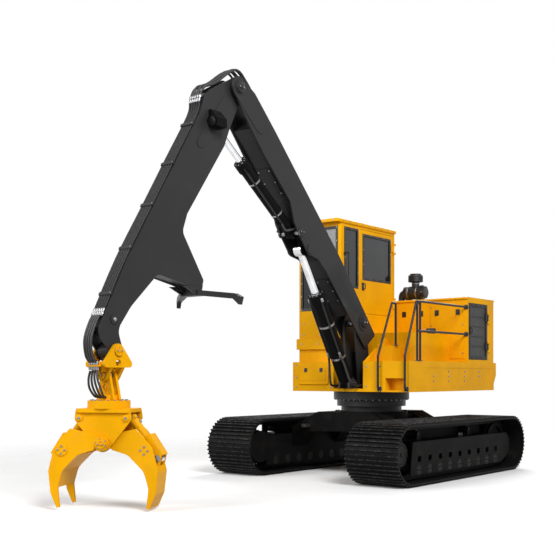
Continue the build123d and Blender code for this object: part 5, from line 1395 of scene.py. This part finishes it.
class LOADER_OT_hoses(LoaderStep, bpy.types.Operator):
    """Hoses that bend over the joints, and the lines and bands of the large cylinders."""
    bl_idname = "loader.hoses"
    bl_label = "Hoses"

    def execute(self, context):
        radius = sizes().hose
        self.knuckle_hoses(radius)
        self.tool_hoses(radius * 0.85)
        self.lift_hoses(radius * 1.1)
        self.crowd_hoses(radius)
        return {"FINISHED"}

    @staticmethod
    def knuckle_hoses(radius):
        """From the boom's lines over the knuckle to the stick's lines."""
        loops = bmesh.new()
        for index, y in enumerate(line_rows()):
            rise = 0.02 * (index % 2)
            path = [on_boom(3.94, 0.256, y), on_boom(4.14, 0.278 + rise, y * 1.1),
                    on_boom(4.40, 0.29 + rise, y * 1.15), on_boom(4.66, 0.20 + rise, y * 1.15),
                    on_stick(0.22, 0.335 + rise, y * 1.1), on_stick(0.42, 0.465 + rise, y * 1.05),
                    on_stick(0.585, 0.470, y)]
            pipe(loops, smooth_path(path), radius)
        piece = add_mesh("boom_stick_hoses", loops, "rubber", None)
        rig.blend(piece, "boom", "stick", on_boom(4.05, 0.25), on_stick(0.55, 0.45))

    @staticmethod
    def tool_hoses(radius):
        """From the stick's end to the hanger bracket and on to the rotator."""
        upper, lower, bracket, bright = meshes(4)
        shelf = SWIVEL.z + 0.11

        def hang(x, y, z):
            return Vector((END.x + x, y, z))

        for y in (-0.063, -0.021, 0.021, 0.063):
            path = [on_stick(4.10, 0.386, y), on_stick(4.20, 0.40, y), hang(0.335, y, END.z + 0.14),
                    hang(0.315, y, END.z - 0.06), hang(0.245, y, shelf + 0.035)]
            pipe(upper, smooth_path(path), radius)
            fitting(bright, hang(0.245, y, shelf + 0.045), DOWN, radius)
            path = [hang(0.245, y, shelf - 0.06), hang(0.255, y * 1.3, shelf - 0.16),
                    hang(0.225, y * 1.6, TURN.z + 0.25), hang(0.165, y * 1.3, TURN.z + 0.155),
                    hang(0.112, y, TURN.z + 0.135)]
            pipe(lower, smooth_path(path), radius)
        slab(bracket, hang(0.112, -0.10, shelf - 0.010), hang(0.285, 0.10, shelf + 0.010))
        for y in (-0.09, 0.09):
            slab(bracket, hang(0.112, y - 0.006, shelf - 0.07), hang(0.20, y + 0.006, shelf), 0.003)
        piece = add_mesh("hanger_hoses", upper, "rubber", None)
        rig.blend(piece, "stick", "hanger", on_stick(4.18, 0.40), hang(0.25, 0, shelf + 0.04))
        piece = add_mesh("rotator_hoses", lower, "rubber", None)
        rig.blend(piece, "hanger", "rotator", hang(0.25, 0, shelf - 0.06), hang(0.13, 0, TURN.z + 0.15))
        add_mesh("hose_bracket", bracket, "yellow_paint", "hanger")
        add_mesh("hanger_fittings", bright, "bare_steel", "hanger")

    @staticmethod
    def band(mesh, place, way, radius, half, rise, sides):
        """Clamp band round a barrel."""
        crown = half - 0.002
        rings = [(radius, -half), (radius + rise, -crown), (radius + rise, crown), (radius, half)]
        stack(mesh, facing(place, way), rings, sides)

    @staticmethod
    def add_barrel(prefix, body, lines, bands, bright):
        add_mesh(f"{prefix}_lines", lines, "black_paint", body)
        add_mesh(f"{prefix}_bands", bands, "bare_steel", body)
        add_mesh(f"{prefix}_fittings", bright, "bare_steel", body)

    def lift_hoses(self, radius):
        """Lines along the lift barrel and the loops at its foot."""
        base, way = pivot("lift_barrel_pivot"), axis_of("lift_rod_slide")
        at, line = Line(base, base + way), 0.016
        lines, bands, bright, loops = meshes(4)
        for side in SIDES:
            y = side * 0.115
            path = [at(1.56, -0.06, side * 0.128), at(1.50, -0.075, y), at(1.20, -0.08, y),
                    at(0.62, -0.08, y)]
            pipe(lines, smooth_path(path, 5), line)
            fitting(bright, path[-1], path[-1] - path[-2], line)
            port = facing(at(1.58, -0.055, side * 0.122), way)
            stack(bright, port, [(0.026, -0.03), (0.026, 0.02), (0.018, 0.03)], 12)
            loop = [base + Vector((x, side * out, z)) for x, out, z in (
                (-0.30, 0.215, 0.0), (-0.10, 0.225, -0.05), (0.10, 0.225, -0.055), (0.20, 0.20, 0.02))]
            pipe(loops, smooth_path(loop + [at(0.40, -0.10, side * 0.15), at(0.55, -0.082, y)]), radius)
        for distance in (0.50, 1.10):
            self.band(bands, at(distance, 0), way, 0.1255, 0.018, 0.0045, 40)
        gland = at(1.664, 0)
        stack(bands, facing(gland, way), [(0.075, -0.001), (0.075, 0.006), (0.068, 0.010)], 32)
        bolt_ring(bright, gland, way, 0.108, 10, 0.011)
        piece = add_mesh("lift_hoses", loops, "rubber", None)
        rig.blend(piece, "house", "lift_barrel", base + Vector((0.02, 0, -0.05)), at(0.42, -0.09))
        self.add_barrel("lift_barrel", "lift_barrel", lines, bands, bright)

    def crowd_hoses(self, radius):
        """Lines along the stick barrel and the hoses to the boom's underside."""
        base, way = pivot("stick_barrel_pivot"), axis_of("stick_rod_slide")
        at = Line(base, base + way)
        lines, bands, bright, loops = meshes(4)
        for side, far in ((-1, at(0.34, -0.09, -0.05)), (1, at(1.42, -0.075, 0.06))):
            near = at(0.30, -0.090, side * 0.05)
            pipe(lines, [far, near], 0.014)
            loop = [on_boom(2.36, -0.185, side * 0.135), on_boom(2.22, -0.245, side * 0.135),
                    at(0.16, -0.10, side * 0.115), at(0.20, -0.125, side * 0.07), near]
            pipe(loops, smooth_path(loop), radius)
        for distance in (0.45, 1.10):
            self.band(bands, at(distance, 0), way, 0.0925, 0.014, 0.0035, 36)
        bolt_ring(bright, at(1.49, 0), way, 0.078, 8, 0.010)
        piece = add_mesh("crowd_hoses", loops, "rubber", None)
        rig.blend(piece, "boom", "stick_barrel", on_boom(2.36, -0.185), at(0.20, -0.12))
        self.add_barrel("crowd_barrel", "stick_barrel", lines, bands, bright)


class LOADER_OT_work_light(LoaderStep, bpy.types.Operator):
    """Guarded work lights on both sides of the stick's head."""
    bl_idname = "loader.work_light"
    bl_label = "Work lights"

    def execute(self, context):
        guard, lens = meshes(2)
        profile = ((-0.001, -0.12), (-0.001, 0.12), (0.05, 0.12), (0.16, 0.0), (0.16, -0.12))
        for side in SIDES:
            place = on_stick(0.731, 0.150, side * STICK_HALF)
            prism(guard, [place + Vector((-0.13, side * y, z)) for y, z in profile], Vector((0.20, 0, 0)))
            lamp = facing(place + Vector((0.068, side * 0.08, -0.045)), (0.92, side * 0.05, -0.38))
            stack(guard, lamp, [(0.030, -0.06), (0.062, -0.02), (0.070, 0.0), (0.072, 0.034), (0.066, 0.038),
                                (0.062, 0.026)], 24)
            row = [place + Vector((0.07, side * y, -0.10)) for y in (0.015, 0.145)]
            bolt_row(guard, row, FORWARD, 0.010, 0.008)
            stack(lens, lamp, [(0.061, 0.022), (0.061, 0.027), (0.034, 0.032)], 24)
        # the guards take the black paint darkened as painted shade
        add_mesh("work_light_guards", guard, "frame_paint", "stick")
        add_mesh("work_light_lenses", lens, "glass", "stick")
        return {"FINISHED"}


class LOADER_OT_doublers(LoaderStep, bpy.types.Operator):
    """Welded doubler plates round the pins of the boom and stick."""
    bl_idname = "loader.doublers"
    bl_label = "Doubler plates"

    def execute(self, context):
        knuckle = (TIP - FOOT).length
        # body, its line, its half width, and circles with distance, height and radius
        rows = (("boom", on_boom, BOOM_HALF, ((knuckle, 0.0, 0.150), (knuckle - 0.62, 0.045, 0.150))),
                ("stick", on_stick, STICK_HALF, ((0.35, 0.03, 0.110), (0.66, -0.02, 0.100),
                                                 (1.16, 0.16, 0.065))))
        for body, at, half, circles in rows:
            plates = bmesh.new()
            for side in SIDES:
                outline = [at(distance, height, side * (half - 0.001)) for distance, height in belt(circles)]
                prism(plates, outline, Vector((0, side * 0.009, 0)))
                weld = [point + Vector((0, side * 0.004, 0)) for point in outline]
                pipe(plates, weld + weld[:1], 0.006, 6)
            add_mesh(f"{body}_doublers", plates, "black_paint", body, smooth=False)
        return {"FINISHED"}


class LOADER_OT_track_shade_plates(LoaderStep, bpy.types.Operator):
    """Upright dark plates on the track frames, between the rows of links of the upper run: they close the gaps under
    it as painted shade inside the track.
    """
    bl_idname = "loader.track_guides"
    bl_label = "Track shade plates"

    def execute(self, context):
        first, last = low("carrier_rollers"), high("carrier_rollers")
        across, room, half, foot = last.z - first.z, 0.04, 0.014, 0.645
        rear, front = sorted((low(node).x, high(node).x) for node in ("sprockets", "idlers"))
        spans = ((rear[1] + room, first.x - room), (first.x + across + room, last.x - across - room),
                 (last.x + room, front[0] - room))
        plates = bmesh.new()
        for node in ("track_left", "track_right"):
            y = (low(node).y + high(node).y) / 2
            for start, end in spans:
                slab(plates, (start, y - half, foot), (end, y + half, last.z + 0.02))
        # painted shade: dark sheets in the gaps between the rollers under the upper run
        add_mesh("track_guides", plates, "frame_paint", "undercarriage", smooth=False)
        return {"FINISHED"}


class LOADER_OT_grapple_trim(LoaderStep, bpy.types.Operator):
    """Bolts, pin covers and ram fittings of the grapple."""
    bl_idname = "loader.grapple_trim"
    bl_label = "Grapple trim"

    def execute(self, context):
        bolts = bmesh.new()
        bolt_ring(bolts, (TURN.x, 0, TURN.z + 0.096), UP, 0.222, 16, 0.014)
        add_mesh("rotator_bolts", bolts, "bare_steel", "rotator")
        across = axis_of("jaw_left_swing")
        out = Vector(UP).cross(across)
        if (pivot("ram_barrel_left_pivot") - JAW).dot(out) < 0:
            out = -out
        self.head(across, out)
        # jaw, the way it points, half width over its plates
        for name, way, half in (("left", 1, 0.174), ("right", -1, 0.264)):
            self.jaw(name, across, out * way, half, hub=way < 0)
            self.ram(name, across)
        return {"FINISHED"}

    @staticmethod
    def head(across, out):
        """Covers on the pins of the jaws and rams."""
        bolts, caps = meshes(2)
        for normal in (-across, across):
            pin_end(caps, bolts, JAW + normal * 0.268, normal, 0.056)
            for way in SIDES:
                ram = JAW + out * way * 0.300 + Vector((0, 0, 0.314)) + normal * 0.214
                stack(caps, facing(ram, normal), [(0.040, -0.004), (0.040, 0.010), (0.030, 0.014)], 20)
                hexagon(bolts, ram + normal * 0.014, normal, 0.015, 0.012)
        add_mesh("grapple_pin_bolts", bolts, "bare_steel", "grapple_head")
        add_mesh("grapple_pin_covers", caps, "yellow_paint", "grapple_head")

    @staticmethod
    def jaw(name, across, out, half, hub):
        """Bolts of a jaw's bosses and the ends of its ram pin."""
        trim = bmesh.new()
        for normal in (-across, across):
            boss = JAW + out * 0.515 + Vector((0, 0, -0.076)) + normal * half
            bolt_ring(trim, boss, normal, 0.045, 4, 0.012, math.pi / 4)
            if hub:
                bolt_ring(trim, JAW + normal * half, normal, 0.064, 6, 0.008)
            eye = JAW + out * 0.655 + Vector((0, 0, -0.176)) + normal * 0.100
            stack(trim, facing(eye, normal), [(0.044, -0.001), (0.044, 0.012), (0.034, 0.016)], 20)
            hexagon(trim, eye + normal * 0.016, normal, 0.014, 0.012)
        add_mesh(f"jaw_{name}_bolts", trim, "bare_steel", f"jaw_{name}")

    @staticmethod
    def ram(name, across):
        """Ports and gland bolts of a jaw's ram."""
        ports = bmesh.new()
        base, along = pivot(f"ram_barrel_{name}_pivot"), axis_of(f"ram_rod_{name}_slide")
        upward = along.cross(across).normalized()
        if upward.z <= 0:
            upward = -upward
        for distance in (0.10, 0.40):
            port = facing(base + along * distance + upward * 0.058, upward)
            stack(ports, port, [(0.020, -0.004), (0.020, 0.012), (0.014, 0.016)], 12)
        bolt_ring(ports, base + along * 0.44, along, 0.055, 6, 0.008)
        add_mesh(f"ram_{name}_ports", ports, "bare_steel", f"ram_barrel_{name}")


class LOADER_OT_stage(LoaderStep, bpy.types.Operator):
    """Pale floor, soft light and the camera."""
    bl_idname = "loader.stage"
    bl_label = "Stage"

    def execute(self, context):
        ground = bmesh.new()
        bmesh.ops.create_grid(ground, x_segments=1, y_segments=1, size=60)
        floor = add_mesh("floor", ground, "floor", None, smooth=False)
        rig.stage(floor)
        self.world(context)
        self.lamps(context)
        self.camera(context)
        context.scene.view_settings.view_transform = "Standard"
        return {"FINISHED"}

    @staticmethod
    def world(context):
        """Soft light all round; the camera, metal and glass see white."""
        world = bpy.data.worlds.new("studio")
        world.use_nodes = True
        context.scene.world = world
        tree = Tree(world.node_tree)
        white, ambient = (1, 1, 1, 1), tree.nodes["Background"]
        tree.feed(ambient.inputs["Color"], white)
        tree.feed(ambient.inputs["Strength"], 0.30)
        backdrop = tree.node("ShaderNodeBackground", {}, {"Color": white, "Strength": 1.0})
        rays = tree.node("ShaderNodeLightPath").socket.node.outputs
        shown = Socket(tree, rays["Is Camera Ray"])
        for name in ("Is Glossy Ray", "Is Transmission Ray"):
            shown = shown.most(Socket(tree, rays[name]))
        soft = Socket(tree, ambient.outputs[0])
        pick = tree.node("ShaderNodeMixShader", {}, {0: shown, 1: soft, 2: backdrop})
        tree.feed(tree.nodes["World Output"].inputs[0], pick)

    @staticmethod
    def lamps(context):
        aim = Vector((1.8, 0, 2.4))
        # name, place, size and power in watts
        for name, place, size, power in (
                ("key", (9.0, 12.0, 13.0), 7.0, 2950.0),
                ("fill", (26.0, -11.0, 13.0), 14.0, 4200.0),
                ("back", (-12.0, -4.0, 12.0), 7.0, 1300.0)):
            lamp = bpy.data.lights.new(name, "AREA")
            lamp.size = size
            lamp.energy = power
            piece = bpy.data.objects.new(name, lamp)
            piece.location = place
            piece.rotation_euler = (aim - Vector(place)).to_track_quat("-Z", "Y").to_euler()
            context.scene.collection.objects.link(piece)

    @staticmethod
    def camera(context):
        settings = context.scene.loader_camera
        data = bpy.data.cameras.new("camera")
        data.lens = settings.lens
        data.sensor_width = 36
        data.shift_y = settings.rise
        data.clip_end = 500
        camera = bpy.data.objects.new("camera", data)
        camera.location = settings.place
        camera.rotation_euler = (math.pi / 2, 0, settings.heading - math.pi / 2)
        context.scene.collection.objects.link(camera)
        context.scene.camera = camera


STEPS = [
    LOADER_OT_finish_solids,
    LOADER_OT_window_seals,
    LOADER_OT_seat,
    LOADER_OT_cab_trim,
    LOADER_OT_house_panels,
    LOADER_OT_doors,
    LOADER_OT_treads,
    LOADER_OT_rails,
    LOADER_OT_air_cleaner,
    LOADER_OT_fasteners,
    LOADER_OT_boom_lines,
    LOADER_OT_hoses,
    LOADER_OT_work_light,
    LOADER_OT_doublers,
    LOADER_OT_track_shade_plates,
    LOADER_OT_grapple_trim,
    LOADER_OT_stage,
]


class LOADER_PT_panel(bpy.types.Panel):
    """Steps of the loader's looks."""
    bl_idname = "LOADER_PT_panel"
    bl_label = "Loader"
    bl_space_type = "VIEW_3D"
    bl_region_type = "UI"
    bl_category = "Loader"

    def draw(self, context):
        for group in (context.scene.loader_colours, context.scene.loader_sizes, context.scene.loader_camera):
            box = self.layout.box()
            for name in group.__annotations__:
                box.prop(group, name)
        for step in STEPS:
            self.layout.operator(step.bl_idname)


GROUPS = {"loader_colours": LoaderColours, "loader_sizes": LoaderSizes, "loader_camera": LoaderCamera}


def register():
    for name, group in GROUPS.items():
        bpy.utils.register_class(group)
        setattr(bpy.types.Scene, name, PointerProperty(type=group))
    for step in STEPS:
        bpy.utils.register_class(step)
    bpy.utils.register_class(LOADER_PT_panel)


def unregister():
    bpy.utils.unregister_class(LOADER_PT_panel)
    for step in reversed(STEPS):
        bpy.utils.unregister_class(step)
    for name, group in GROUPS.items():
        delattr(bpy.types.Scene, name)
        bpy.utils.unregister_class(group)


def main():
    register()
    for step in STEPS:
        group, action = step.bl_idname.split(".")
        getattr(getattr(bpy.ops, group), action)()
    boxes = {"cad": [list(corner) for corner in CAD_BOX], "visual": [list(corner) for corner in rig.bounds()]}
    with open("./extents.json", "w") as sink:
        json.dump(boxes, sink)


if __name__ == "__main__":
    main()
